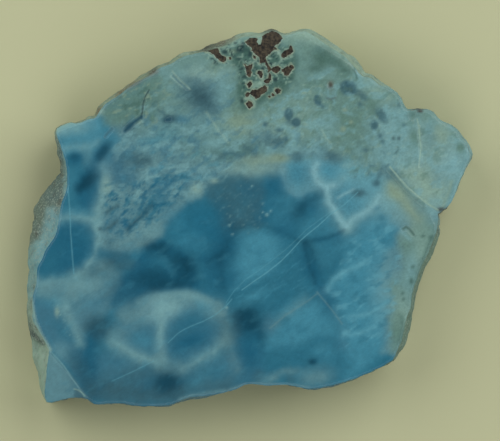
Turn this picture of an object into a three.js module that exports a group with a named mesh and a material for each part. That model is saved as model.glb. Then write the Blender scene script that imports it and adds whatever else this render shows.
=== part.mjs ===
// A polished slab of larimar, the blue pectolite of volcanic rock. It is one piece of stone: a sawn and
// polished face, a sawn back, and the rough natural side of the stone left standing all round between them.
//
// Millimetres, +Z up. The slab lies on its sawn back with the polished face up. The origin is under the
// middle of the slab, on the surface that it lies on.

import * as THREE from "three";
import { mergeVertices } from "three/addons/utils/BufferGeometryUtils.js";

// Sizes of the slab, in millimetres
const THICKNESS = 13;
const STATION_SPACING = 0.85; // between the places along the edge where the side is shaped
const SIDE_STEPS = 13; // from the back up to the polished face

// Form of the rough side, in millimetres unless it says otherwise
const BELLY_DEPTH = 7; // how far below the polished face the side stands out most
const BACK_SHARE = 0.5; // share of that standing out that is left where the back is sawn
const UNDERCUT = 1.4; // the most that the side leans in again below that
const UNDERCUT_LENGTH = 16; // length over which the leaning changes
const LUMP_SIZE = 4.6;
const FACET_SIZE = 7;
const LUMP_SHARE = 0.45; // the rest of the relief is broken facets
const RELIEF_MIDDLE = 0.25; // where the relief's middle lies between a lump's top, 0, and a deep crease, 1
const CRISP_DEPTH = 1.4; // the relief fades out over this depth, up to the polished edge
const NORMAL_REACH = 5; // stations each way that the outward direction is taken over

const STONE_COLOUR = 0x2c7291;

// The edge of the polished face, anticlockwise from the lower left tip. Each corner is x, y and how far the
// rough side stands out beyond it lower down. Relief is the height of the lumps and facets on that stretch.
const STRETCHES = [
  {
    name: "lower edge, a clean break",
    relief: 1.0,
    corners: [
      [-34.4, -31.4, 0.3],
      [-31.6, -31.0, 0.1],
      [-30.3, -30.7, 0.1],
      [-27.7, -30.8, 0.1],
      [-26.2, -31.8, 0.1],
      [-24.8, -31.7, 0.1],
      [-21.2, -31.7, 0.1],
      [-18.2, -32.2, 0.1],
      [-16.7, -32.1, 0.1],
      [-13.8, -32.0, 0.1],
      [-11.6, -31.2, 0.1],
      [-10.5, -30.7, 0.2],
      [-8.0, -30.5, 0.3],
      [-4.9, -30.0, 0.3],
      [-2.2, -29.3, 0.2],
      [-0.7, -28.5, 0.1],
      [0.5, -28.4, 0.1],
      [3.1, -28.7, 0.1],
      [6.1, -28.5, 0.1],
      [7.5, -28.7, 0.1],
      [10.5, -29.2, 0.1],
      [13.6, -28.7, 0.1],
      [18.4, -27.3, 0.1],
      [23.3, -25.0, 0.4],
      [24.5, -24.2, 0.5],
    ],
  },
  {
    name: "right flank",
    relief: 1.6,
    corners: [
      [25.3, -22.4, 1.1],
      [25.9, -21.2, 1.2],
      [26.7, -17.5, 1.1],
      [27.5, -15.1, 1.1],
      [27.8, -12.8, 1.1],
      [28.2, -11.6, 1.0],
      [29.4, -8.2, 1.0],
      [30.6, -5.8, 1.0],
      [31.5, -3.4, 0.9],
      [31.9, -2.2, 0.8],
      [32.2, 0.0, 0.5],
      [32.1, 0.6, 0.4],
    ],
  },
  {
    name: "right lobe",
    relief: 1.3,
    corners: [
      [33.4, 1.4, 0.5],
      [34.7, 3.1, 0.5],
      [35.6, 5.8, 0.5],
      [36.5, 7.5, 0.5],
      [36.7, 8.3, 0.5],
      [37.5, 10.2, 0.5],
      [36.8, 12.6, 0.5],
      [36.0, 13.3, 0.5],
      [35.2, 14.8, 0.5],
      [34.5, 15.4, 0.4],
      [32.6, 16.2, 0.4],
      [30.9, 17.9, 0.4],
      [28.8, 18.3, 0.4],
      [27.0, 18.0, 0.4],
    ],
  },
  {
    name: "upper right slope",
    relief: 1.5,
    corners: [
      [25.2, 20.9, 0.5],
      [23.3, 22.1, 0.5],
      [22.4, 22.3, 0.5],
      [20.4, 23.8, 0.5],
      [19.6, 23.8, 0.5],
      [19.0, 24.1, 0.8],
      [17.8, 25.6, 1.1],
      [16.3, 27.2, 1.1],
      [13.3, 29.2, 1.1],
      [9.5, 31.6, 1.0],
      [8.5, 31.5, 0.9],
    ],
  },
  {
    name: "crown with the dark inclusions",
    relief: 1.9,
    corners: [
      [6.0, 30.8, 0.5],
      [3.8, 31.7, 0.4],
      [1.9, 30.6, 0.8],
      [0.9, 30.7, 1.0],
      [-1.4, 30.5, 1.1],
      [-3.6, 29.3, 1.3],
      [-4.8, 28.9, 1.2],
      [-9.4, 27.7, 0.5],
      [-10.5, 27.5, 0.5],
      [-12.3, 26.7, 0.5],
      [-13.0, 26.1, 0.5],
    ],
  },
  {
    name: "upper left slope",
    relief: 1.5,
    corners: [
      [-15.3, 25.3, 0.5],
      [-16.7, 24.2, 0.7],
      [-19.7, 22.6, 0.7],
      [-22.3, 20.6, 0.8],
      [-24.0, 19.5, 0.5],
      [-25.2, 18.4, 0.7],
      [-26.1, 16.9, 0.5],
      [-27.0, 16.7, 0.4],
      [-29.2, 15.9, 0.4],
      [-30.4, 16.0, 0.4],
    ],
  },
  {
    name: "left flank, where the crust bulges out",
    relief: 1.9,
    corners: [
      [-32.8, 14.8, 0.6],
      [-32.4, 13.1, 0.8],
      [-31.7, 11.1, 1.0],
      [-31.1, 9.0, 1.3],
      [-30.9, 5.6, 2.4],
      [-31.1, 4.4, 3.1],
      [-31.9, 2.2, 4.1],
      [-32.3, -0.2, 4.6],
      [-32.8, -2.9, 4.3],
      [-34.3, -5.2, 3.2],
      [-35.4, -7.5, 2.4],
      [-36.0, -8.6, 1.9],
      [-36.1, -11.2, 1.9],
      [-36.8, -13.8, 1.0],
      [-36.8, -16.2, 0.9],
      [-36.8, -17.3, 0.8],
      [-35.0, -20.6, 2.0],
      [-34.0, -22.7, 2.9],
      [-34.3, -25.0, 2.2],
      [-34.4, -26.2, 1.8],
    ],
  },
];

// Noise, the same on every run

// A number from 0 to 1 that belongs to a whole-numbered place. The salt gives a second, different number there.
function scatter(i, j, k, salt) {
  const wave = Math.sin(i * 127.1 + j * 311.7 + k * 74.7 + salt * 53.3) * 43758.5453;
  return wave - Math.floor(wave);
}

// Smooth noise along a line, from 0 to 1.
function roll(position, salt) {
  const cell = Math.floor(position);
  const ease = THREE.MathUtils.smoothstep(position - cell, 0, 1);
  return THREE.MathUtils.lerp(scatter(cell, 0, 0, salt), scatter(cell + 1, 0, 0, salt), ease);
}

// The nearest scattered seed to a point: the seed's cell, and the way from the seed to the point in seed spacings.
function nearestSeed(point, spacing) {
  const place = point.clone().divideScalar(spacing);
  const home = place.clone().floor();
  let best = { distance: Infinity };
  for (let i = home.x - 1; i <= home.x + 1; i++) {
    for (let j = home.y - 1; j <= home.y + 1; j++) {
      for (let k = home.z - 1; k <= home.z + 1; k++) {
        const seed = new THREE.Vector3(i, j, k);
        seed.add(new THREE.Vector3(scatter(i, j, k, 1), scatter(i, j, k, 2), scatter(i, j, k, 3)));
        const away = place.clone().sub(seed);
        if (away.length() < best.distance) best = { distance: away.length(), away, cell: [i, j, k] };
      }
    }
  }
  return best;
}

// Rounded lumps that meet in creases: 0 on top of a lump, 1 in a deep crease.
function lumps(point) {
  return 1 - Math.sqrt(1 - Math.min(1, nearestSeed(point, LUMP_SIZE).distance) ** 2);
}

// Flat facets at odd tilts, with a ledge where two of them meet, from 0 to 1.
function facets(point) {
  const { away, cell } = nearestSeed(point, FACET_SIZE);
  const tilt = new THREE.Vector3(scatter(...cell, 5) - 0.5, scatter(...cell, 6) - 0.5, scatter(...cell, 7) - 0.5);
  return THREE.MathUtils.clamp(scatter(...cell, 4) + tilt.dot(away), 0, 1);
}

// The edge, walked round in even steps

// Every station holds its place on the polished edge, its flare and relief, and the way out of the stone there.
function walkTheEdge() {
  const corners = STRETCHES.flatMap((stretch) => stretch.corners);
  const reliefs = STRETCHES.flatMap((stretch) => stretch.corners.map(() => stretch.relief));
  const edge = new THREE.CatmullRomCurve3(
    corners.map(([x, y, flare]) => new THREE.Vector3(x, y, flare)),
    true,
    "centripetal",
  );
  edge.arcLengthDivisions = corners.length * 20;
  const count = Math.round(edge.getLength() / STATION_SPACING);
  const stations = Array.from({ length: count }, (_, i) => {
    const along = edge.getUtoTmapping(i / count);
    const { x, y, z } = edge.getPoint(along);
    const corner = Math.floor(along * corners.length);
    const next = (corner + 1) % corners.length;
    const relief = THREE.MathUtils.lerp(reliefs[corner], reliefs[next], along * corners.length - corner);
    return { x, y, flare: Math.max(z, 0), relief, run: i * STATION_SPACING };
  });
  stations.forEach((station, i) => {
    const ahead = stations[(i + NORMAL_REACH) % count];
    const behind = stations[(i - NORMAL_REACH + count) % count];
    station.out = new THREE.Vector2(ahead.y - behind.y, behind.x - ahead.x).normalize();
  });
  return stations;
}

// How far the side stands out from the polished edge at a station, at a height above the back.
function standsOut(station, height) {
  const depth = THICKNESS - height;
  const swell = Math.sin((Math.min(1, depth / BELLY_DEPTH) * Math.PI) / 2);
  const below = THREE.MathUtils.smoothstep(depth, BELLY_DEPTH, THICKNESS);
  const belly = swell * THREE.MathUtils.lerp(1, BACK_SHARE, below);
  const lean = UNDERCUT * roll(station.run / UNDERCUT_LENGTH, 8) * below;
  const point = new THREE.Vector3(station.x, station.y, height);
  const rough = lumps(point) * LUMP_SHARE + facets(point) * (1 - LUMP_SHARE);
  const crisp = THREE.MathUtils.smoothstep(depth, 0, CRISP_DEPTH);
  return station.flare * belly - lean - station.relief * (rough - RELIEF_MIDDLE) * crisp;
}

// The slab: the polished outline carried straight down to the back, with its side then moved in and out.
function slabGeometry() {
  const stations = walkTheEdge();
  const face = new THREE.Shape(stations.map(({ x, y }) => new THREE.Vector2(x, y)));
  const straight = new THREE.ExtrudeGeometry(face, { depth: THICKNESS, steps: SIDE_STEPS, bevelEnabled: false });
  straight.deleteAttribute("normal");
  straight.deleteAttribute("uv");
  const geometry = mergeVertices(straight);
  const places = geometry.getAttribute("position");
  for (let i = 0; i < places.count; i++) {
    const [x, y, height] = [places.getX(i), places.getY(i), places.getZ(i)];
    const gaps = stations.map((station) => Math.hypot(station.x - x, station.y - y));
    const station = stations[gaps.indexOf(Math.min(...gaps))];
    const out = standsOut(station, height);
    places.setXY(i, station.x + station.out.x * out, station.y + station.out.y * out);
  }
  geometry.computeBoundingBox();
  const middle = geometry.boundingBox.getCenter(new THREE.Vector3());
  geometry.translate(-middle.x, -middle.y, 0);
  geometry.computeVertexNormals();
  return geometry;
}

const stone = new THREE.MeshStandardMaterial({ color: STONE_COLOUR, roughness: 0.25, metalness: 0 });
const slab = new THREE.Mesh(slabGeometry(), stone);
slab.name = "larimar_slab";

const part = new THREE.Group();
part.add(slab);

export default part;
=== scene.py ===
# A polished slab of larimar, the blue pectolite of volcanic rock, lying on its sawn back. The slab is one
# stone: a polished face, a rough natural side and a sawn back, made as one mesh round the CAD solid.

import logging
import math
from dataclasses import dataclass
from enum import Enum

import bmesh
import bpy
import numpy as np
from mathutils import Matrix, Vector


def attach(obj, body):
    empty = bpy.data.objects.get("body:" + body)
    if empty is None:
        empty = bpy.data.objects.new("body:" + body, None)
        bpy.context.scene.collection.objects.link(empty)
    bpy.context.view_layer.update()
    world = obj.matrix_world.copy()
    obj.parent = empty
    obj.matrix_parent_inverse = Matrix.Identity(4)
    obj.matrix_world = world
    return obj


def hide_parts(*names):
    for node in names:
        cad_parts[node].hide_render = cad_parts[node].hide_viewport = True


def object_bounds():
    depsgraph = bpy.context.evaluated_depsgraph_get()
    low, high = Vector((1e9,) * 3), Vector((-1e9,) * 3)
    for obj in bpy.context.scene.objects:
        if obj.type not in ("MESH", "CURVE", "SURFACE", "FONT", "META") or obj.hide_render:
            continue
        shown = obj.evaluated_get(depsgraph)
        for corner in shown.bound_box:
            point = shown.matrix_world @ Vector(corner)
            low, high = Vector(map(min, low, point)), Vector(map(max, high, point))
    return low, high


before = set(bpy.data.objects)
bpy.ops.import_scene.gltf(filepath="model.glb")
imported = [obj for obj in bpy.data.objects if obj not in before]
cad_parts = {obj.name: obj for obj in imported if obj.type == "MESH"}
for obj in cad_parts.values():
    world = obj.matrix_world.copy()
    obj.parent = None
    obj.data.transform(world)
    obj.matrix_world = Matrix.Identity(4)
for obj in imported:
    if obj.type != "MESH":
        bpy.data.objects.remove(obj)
CAD_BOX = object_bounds()

LOG = logging.getLogger("larimar")

# Units and the driving sizes

MM = 0.001  # metres in a millimetre
SLAB_NODE = "larimar_slab"
PHOTO_SIZE = (500, 441)  # pixels
PIXEL = 0.17  # millimetres of the polished face in one pixel of the photograph
MIDDLE = (249.43, 217.74)  # the photograph's pixel at the slab's own origin
THICKNESS = (CAD_BOX[1].z - CAD_BOX[0].z) / MM
SRGB_KNEE = 0.04045  # under this value the sRGB curve is straight
SRGB_SLOPE = 12.92
SRGB_OFFSET = 0.055
SRGB_POWER = 2.4

Points = np.ndarray  # places in millimetres in the slab's frame, one row each
Values = np.ndarray  # one number for each place
Pixel = tuple[float, float]
Place = tuple[float, float]


def linear(colour: str) -> tuple[float, float, float, float]:
    """Turns an sRGB hex colour into the linear one that Blender's sockets take.

    Args:
        colour: The colour as "#rrggbb".

    Returns:
        Red, green, blue and an alpha of 1.
    """
    encoded = [int(colour[start:start + 2], 16) / 255 for start in (1, 3, 5)]
    red, green, blue = [
        ((channel + SRGB_OFFSET) / (1 + SRGB_OFFSET)) ** SRGB_POWER if channel > SRGB_KNEE
        else channel / SRGB_SLOPE
        for channel in encoded
    ]
    return red, green, blue, 1.0


def on_slab(pixel: Pixel) -> Place:
    """Gives the place on the slab, in millimetres, of a pixel of the photograph."""
    return (pixel[0] - MIDDLE[0]) * PIXEL, (MIDDLE[1] - pixel[1]) * PIXEL


def smoothstep(low: float, high: float, values: Values) -> Values:
    """Rises smoothly from 0 at low to 1 at high.

    Args:
        low: The value at which the rise starts. It may be over the other one.
        high: The value at which the rise ends.
        values: The values to weigh.

    Returns:
        From 0 to 1 for each value.
    """
    share = np.clip((values - low) / (high - low), 0, 1)
    return share * share * (3 - 2 * share)


class SeededNoise:
    """Smooth noise in the plane or in space, the same on every run."""

    TABLE = 256
    OCTAVE_SHIFT = 17.3  # so that the octaves don't line up at the origin
    LOUDNESS = 1.6  # brings the noise to about -1 to 1

    def __init__(self, seed: int) -> None:
        """Draws the noise's tables.

        Args:
            seed: The number that sets the noise apart from another.
        """
        draw = np.random.default_rng(seed)
        self.order = draw.permutation(self.TABLE)
        slopes = draw.normal(size=(self.TABLE, 3))
        self.slopes = slopes / np.linalg.norm(slopes, axis=1, keepdims=True)

    def __call__(self, points: Points, size: float, octaves: int = 1) -> Values:
        """Reads the noise.

        Args:
            points: Places in millimetres, with two or three columns.
            size: How far apart the noise's swells are, in millimetres.
            octaves: How many times it is added to itself at half the size and half the height.

        Returns:
            A value from about -1 to 1 for each place.
        """
        total = np.zeros(len(points))
        height = 1.0
        for octave in range(octaves):
            total += height * self._layer(points / size + octave * self.OCTAVE_SHIFT)
            size, height = size / 2, height / 2
        return total

    def _layer(self, places: Points) -> Values:
        """Blends the slopes at the corners of the unit cell round each place.

        Args:
            places: Places in units of the noise's size.

        Returns:
            A value from about -1 to 1 for each place.
        """
        cell = np.floor(places).astype(int)
        inset = places - cell
        ease = inset ** 3 * (inset * (inset * 6 - 15) + 10)
        axes = places.shape[1]
        total = np.zeros(len(places))
        for corner in np.ndindex(*(2,) * axes):
            index = np.zeros(len(places), int)
            weight = np.ones(len(places))
            for axis, step in enumerate(corner):
                index = self.order[(index + cell[:, axis] + step) % self.TABLE]
                weight = weight * (ease[:, axis] if step else 1 - ease[:, axis])
            rise = ((inset - np.array(corner)) * self.slopes[index, :axes]).sum(axis=1)
            total += weight * rise
        return total * self.LOUDNESS


def distance_to_path(points: Points, path: list[Place]) -> Values:
    """Measures how far each place is from a line through the path's points.

    Args:
        points: Places in millimetres.
        path: The points that the line runs through.

    Returns:
        The distances in millimetres.
    """
    nearest = np.full(len(points), np.inf)
    for start, end in zip(path, path[1:]):
        a, run = np.array(start), np.array(end) - np.array(start)
        along = np.clip((points[:, :2] - a) @ run / (run @ run), 0, 1)
        gap = points[:, :2] - a - along[:, None] * run
        nearest = np.minimum(nearest, np.hypot(gap[:, 0], gap[:, 1]))
    return nearest


def distance_to_outline(points: Points, outline: list[Place]) -> Values:
    """Measures how far each place is outside a closed outline.

    Args:
        points: Places in millimetres.
        outline: The outline's corners.

    Returns:
        The distances in millimetres, less than 0 inside the outline.
    """
    inside = np.zeros(len(points), bool)
    x, y = points[:, 0], points[:, 1]
    closed = outline + outline[:1]
    for (ax, ay), (bx, by) in zip(closed, closed[1:]):
        if ay != by:
            spans = (ay > y) != (by > y)
            inside ^= spans & (x < ax + (y - ay) * (bx - ax) / (by - ay))
    edge = distance_to_path(points, closed)
    return np.where(inside, -edge, edge)


# The minerals in the stone, and the shapes that their marks have


class Mineral(Enum):
    """What the stone is coloured by, as sRGB: the blues, the greens, the stains and its natural skin."""

    NAVY = "#104052"
    DEEP = "#1c5a72"
    BLUE = "#2a687c"
    AZURE = "#1b6781"
    BRIGHT = "#428497"
    ICE = "#5c9aa8"
    STEEL = "#3f6f80"
    MIST = "#5b848a"
    WHITE = "#709c9f"
    FROST = "#7cabb2"
    SLATE = "#3a5d66"
    SEA = "#66877c"
    OLIVE = "#56776b"
    MOSS = "#43635a"
    TAN = "#7f9782"
    CREAM = "#8aa898"
    INK = "#1f3439"
    UMBER = "#383530"
    CRUST = "#5d7166"
    RUST = "#66573f"
    BREAK = "#39697a"


def along_and_across(points: Points, centre: Place, turn: float, size: Place) -> tuple[Values, Values]:
    """Measures places from a centre along a turned length and across it.

    Args:
        points: Places in millimetres.
        centre: The place to measure from.
        turn: Degrees anticlockwise from +X to the length.
        size: The units for the length and for the width, in millimetres.

    Returns:
        How far each place lies along the length and across it, in those units.
    """
    angle = math.radians(turn)
    x, y = points[:, 0] - centre[0], points[:, 1] - centre[1]
    along = (x * math.cos(angle) + y * math.sin(angle)) / size[0]
    across = (y * math.cos(angle) - x * math.sin(angle)) / size[1]
    return along, across


@dataclass(frozen=True)
class Pool:
    """A rounded patch of a mineral, soft at its edge. Half of its strength is left at its size."""

    name: str
    mineral: Mineral
    centre: Pixel
    size: tuple[float, float]  # half widths in millimetres
    turn: float = 0.0  # degrees anticlockwise
    strength: float = 0.8
    sharpness: float = 2.2
    loose: float = 1.0  # how far the stone's swells carry and thin it

    def cover(self, points: Points) -> Values:
        """Gives the share of the mineral that the pool lays on each place."""
        along, across = along_and_across(points, on_slab(self.centre), self.turn, self.size)
        return self.strength * 0.5 ** (np.hypot(along, across) ** self.sharpness)


@dataclass(frozen=True)
class Vein:
    """A line of a mineral. Half of its strength is left at its half width."""

    name: str
    mineral: Mineral
    path: tuple[Pixel, ...]
    width: float  # half width in millimetres
    strength: float = 0.7
    sharpness: float = 1.5
    loose: float = 1.0

    def gap(self, points: Points) -> Values:
        """Measures how far each place is from the vein's path."""
        return distance_to_path(points, [on_slab(pixel) for pixel in self.path])

    def cover(self, points: Points) -> Values:
        """Gives the share of the mineral that the vein lays on each place."""
        return self.strength * 0.5 ** ((self.gap(points) / self.width) ** self.sharpness)


@dataclass(frozen=True)
class Zone:
    """A large area of a mineral inside a closed outline."""

    name: str
    mineral: Mineral
    outline: tuple[Pixel, ...]
    edge: float  # width of the soft edge in millimetres
    strength: float = 0.9
    loose: float = 1.0

    def cover(self, points: Points) -> Values:
        """Gives the share of the mineral that the zone lays on each place."""
        outside = distance_to_outline(points, [on_slab(pixel) for pixel in self.outline])
        return self.strength * smoothstep(self.edge / 2, -self.edge / 2, outside)


@dataclass(frozen=True)
class Mottle:
    """Flecks of a mineral all through an area."""

    name: str
    mineral: Mineral
    outline: tuple[Pixel, ...]
    fleck: tuple[float, float]  # length and width in millimetres
    turn: float = 0.0  # degrees anticlockwise from the length to +X
    rarity: float = 0.1  # 0 covers half of the area, 0.5 leaves a few specks
    strength: float = 0.6
    edge: float = 2.5
    seed: int = 1
    loose: float = 1.0
    softness: float = 0.7  # how gently a fleck ends, as a part of the noise's height

    OCTAVES = 3

    def cover(self, points: Points) -> Values:
        """Gives the share of the mineral that the flecks lay on each place.

        Args:
            points: Places in millimetres.

        Returns:
            The mineral's share at each place.
        """
        outside = distance_to_outline(points, [on_slab(pixel) for pixel in self.outline])
        along, across = along_and_across(points, (0.0, 0.0), self.turn, self.fleck)
        swell = SeededNoise(self.seed)(np.stack([along, across], 1), 1.0, self.OCTAVES)
        flecks = smoothstep(self.rarity, self.rarity + self.softness, swell)
        return self.strength * flecks * smoothstep(self.edge / 2, -self.edge / 2, outside)


Mark = Pool | Vein | Zone | Mottle
SPOT_SHARPNESS = 2.6
SPOT_LOOSE = 0.2


def spots(name: str, mineral: Mineral, strength: float, *spread: tuple[float, ...]) -> tuple[Mark, ...]:
    """Makes small clear spots of one mineral.

    Args:
        name: What the spots are called together.
        mineral: What they are of.
        strength: How strong they are.
        spread: For each spot its pixel's two numbers and its half widths in millimetres.

    Returns:
        The spots, numbered.
    """
    return tuple(
        Pool(f"{name} {number}", mineral, (x, y), (wide, tall), 0, strength, SPOT_SHARPNESS, SPOT_LOOSE)
        for number, (x, y, wide, tall) in enumerate(spread, 1))


@dataclass(frozen=True)
class Inclusion:
    """A piece of dark altered rock in the stone, with a sharp edge and a pale rind."""

    name: str
    outline: tuple[Pixel, ...]

    def gap(self, points: Points) -> Values:
        """Measures how far each place is from the inclusion, and less than 0 inside it."""
        return distance_to_outline(points, [on_slab(pixel) for pixel in self.outline])


@dataclass(frozen=True)
class Dent:
    """A low place in the polished face, deepest along its path: a crack, a pit or a step."""

    name: str
    path: tuple[Pixel, ...]
    width: float  # half width in millimetres
    depth: float  # millimetres

    def bare(self, points: Points) -> Values:
        """Gives how much of the polish is missing at each place."""
        gap = distance_to_path(points, [on_slab(pixel) for pixel in self.path])
        return 0.5 ** ((gap / self.width) ** 2)

    def sink(self, points: Points) -> Values:
        """Gives how much lower each place lies."""
        return self.depth * self.bare(points)


@dataclass(frozen=True)
class Chip:
    """A flat break that falls away from a straight line, on the line's right as one walks along it."""

    name: str
    start: Pixel
    end: Pixel
    slope: float  # fall in millimetres for each millimetre away from the line
    fade: float = 0.15  # share of the line's length over which its ends run out

    DEEPEST = 1.2  # millimetres
    BARE_OVER = 0.2  # width over which the polish ends, in millimetres

    def _lie(self, points: Points) -> tuple[Values, Values]:
        """Measures where each place lies on the break.

        Args:
            points: Places in millimetres.

        Returns:
            How far right of the line each place is, in millimetres, and how much of the break reaches it.
        """
        start, end = np.array(on_slab(self.start)), np.array(on_slab(self.end))
        run = end - start
        length = np.hypot(*run)
        offset = points[:, :2] - start
        along = offset @ run / length ** 2
        right = (offset[:, 0] * run[1] - offset[:, 1] * run[0]) / length
        ends = smoothstep(-self.fade, self.fade, along) * smoothstep(1 + self.fade, 1 - self.fade, along)
        return right, ends

    def bare(self, points: Points) -> Values:
        """Gives how much of the polish is missing at each place."""
        right, ends = self._lie(points)
        return smoothstep(0, self.BARE_OVER, right) * ends

    def sink(self, points: Points) -> Values:
        """Gives how much lower each place lies."""
        right, ends = self._lie(points)
        return np.clip(self.slope * right, 0, self.DEEPEST) * ends


Relief = Dent | Chip


# The marks, in photograph pixels, from the lowest layer to the top one

(
    NAVY, DEEP, BLUE, AZURE, BRIGHT, ICE, STEEL, MIST, WHITE, FROST, SLATE, SEA, OLIVE, MOSS, TAN,
    CREAM, INK, UMBER, CRUST, RUST, BREAK
) = Mineral

PALE_STONE = Zone("pale stone over the top", MIST, (
    (96, 112), (112, 128), (119, 142), (117, 158), (108, 166), (101, 178), (98, 200), (95, 220),
    (96, 240), (102, 250), (118, 254), (130, 251), (140, 249), (150, 245), (159, 236), (166, 225),
    (174, 215), (184, 205), (196, 198), (205, 190), (214, 180), (232, 173), (262, 171), (278, 172),
    (285, 180), (290, 191), (300, 193), (308, 188), (320, 190), (327, 195), (331, 205), (338, 216),
    (346, 227), (352, 225), (358, 218), (368, 212), (380, 210), (390, 218), (398, 230), (394, 246),
    (393, 265), (391, 290), (388, 312), (386, 335), (384, 352), (440, 360), (480, 220), (480, 100),
    (420, 60), (340, 10), (200, 10), (90, 80)), 2.0, 1.0)

ZONES: tuple[Mark, ...] = (
    PALE_STONE,
    Zone("light blue corner, upper left", BRIGHT, ((46, 120), (90, 112), (108, 124), (122, 138), (120, 152),
        (112, 164), (98, 168), (84, 158), (60, 156)), 2.5, 0.7),
    Zone("ice field", ICE, ((286, 166), (300, 158), (314, 160), (330, 168), (350, 158), (372, 170),
        (392, 186), (398, 206), (386, 214), (368, 212), (356, 222), (347, 230), (338, 218), (328, 198),
        (318, 190), (306, 188), (298, 194), (288, 186)), 2.4, 0.65),
    Zone("green-white stone from the corner to the crown", WHITE, ((148, 62), (178, 50), (206, 52),
        (236, 66), (240, 100), (226, 118), (236, 140), (222, 156), (200, 150), (186, 130), (168, 112),
        (160, 90)), 4.0, 0.30),
    Zone("green stone under the crown", SEA, ((196, 40), (236, 30), (262, 24), (300, 20), (345, 44),
        (372, 76), (405, 90), (404, 108), (378, 104), (362, 140), (340, 156), (318, 142), (296, 148),
        (262, 128), (240, 140), (224, 126), (232, 100), (232, 76), (214, 62)), 4.0, 0.75),
    Zone("olive slope, upper left", OLIVE, ((100, 114), (112, 100), (126, 88), (142, 80), (160, 74),
        (170, 84), (166, 98), (160, 112), (150, 124), (132, 124), (118, 126), (106, 124)), 2.2, 0.72),
    Zone("right lobe", WHITE, ((406, 104), (440, 106), (480, 140), (476, 178), (446, 218), (430, 212),
        (412, 192), (396, 172), (376, 160), (368, 140), (376, 120), (396, 116)), 2.2, 0.6),
    Zone("cream foot of the lobe", CREAM, ((396, 160), (416, 166), (440, 172), (446, 190), (436, 206),
        (424, 202), (410, 186), (398, 172)), 2.5, 0.55),
    Zone("dull stone in the middle", SLATE, ((206, 182), (222, 176), (244, 174), (258, 178), (266, 190),
        (262, 204), (264, 222), (256, 232), (240, 232), (226, 224), (214, 208), (204, 196)), 2.0, 0.62),
    Zone("right cells", BRIGHT, ((352, 226), (362, 218), (380, 212), (394, 232), (394, 262), (390, 300),
        (386, 350), (345, 385), (344, 340), (336, 318), (328, 296), (334, 280), (344, 264), (346, 240)), 2.6,
        0.80),
    Zone("pale edge of the right cells", MIST, ((384, 250), (396, 246), (404, 262), (400, 300), (398, 352),
        (382, 352), (386, 320), (380, 290)), 2.2, 0.6),
    Zone("right rind", SEA, ((396, 236), (412, 226), (440, 222), (432, 262), (420, 300), (410, 350),
        (390, 352), (392, 320), (400, 290), (402, 262)), 1.6, 0.55),
    Zone("pale stone, lower left", MIST, ((34, 279), (60, 282), (80, 278), (92, 262), (104, 258), (120, 272),
        (124, 288), (114, 304), (100, 318), (88, 330), (84, 352), (74, 340), (64, 322), (52, 304),
        (34, 300)), 2.2, 0.78),
    Zone("lower left flank", STEEL, ((28, 298), (52, 302), (64, 324), (76, 344), (84, 356), (86, 394),
        (60, 360), (36, 330)), 2.0, 0.85),
    Zone("steel floor", STEEL, ((84, 352), (112, 350), (150, 366), (200, 366), (232, 350), (262, 350),
        (262, 392), (150, 410), (84, 400)), 3.0, 0.65),
    Zone("facet at the lower left corner", MIST, ((44, 348), (54, 356), (64, 366), (76, 381), (90, 398),
        (44, 404)), 0.5, 0.8, 0.2),
    Zone("left cell", DEEP, ((58, 223), (92, 221), (95, 236), (92, 250), (86, 262), (78, 272), (60, 276),
        (36, 274), (44, 252), (54, 238)), 1.5, 0.70),
    Zone("cell above it", DEEP, ((84, 171), (92, 164), (98, 166), (99, 180), (96, 196), (93, 206), (84, 208),
        (77, 196), (76, 184)), 1.6, 0.85),
    Zone("middle cell", BRIGHT, ((238, 234), (250, 229), (266, 230), (278, 240), (283, 252), (273, 265),
        (258, 275), (244, 284), (234, 288), (230, 262)), 4.0, 0.85),
    Zone("cell over the middle", BRIGHT, ((262, 200), (276, 194), (290, 196), (298, 208), (298, 222),
        (286, 236), (274, 226), (264, 214)), 2.0, 0.25),
    Zone("cell beside it", BRIGHT, ((300, 225), (326, 208), (338, 222), (346, 236), (344, 252), (332, 262),
        (320, 270), (312, 252), (300, 240)), 2.0, 0.35),
    Zone("heart of the lower cells", BRIGHT, ((284, 306), (300, 300), (318, 302), (330, 318), (330, 330),
        (312, 338), (290, 350), (268, 350), (264, 342), (274, 328)), 2.4, 0.68),
    Zone("deep bed of the navy", DEEP, ((150, 242), (162, 240), (172, 246), (186, 252), (194, 262),
        (196, 276), (200, 288), (186, 288), (170, 289), (154, 291), (142, 294), (130, 301), (118, 310),
        (110, 304), (118, 290), (127, 276), (134, 262), (142, 250)), 1.2, 0.95),
    Zone("lower cell", STEEL, ((116, 328), (134, 306), (152, 294), (190, 290), (214, 302), (228, 322),
        (222, 340), (200, 356), (170, 364), (140, 356), (118, 344)), 2.0, 0.6),
)

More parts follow.
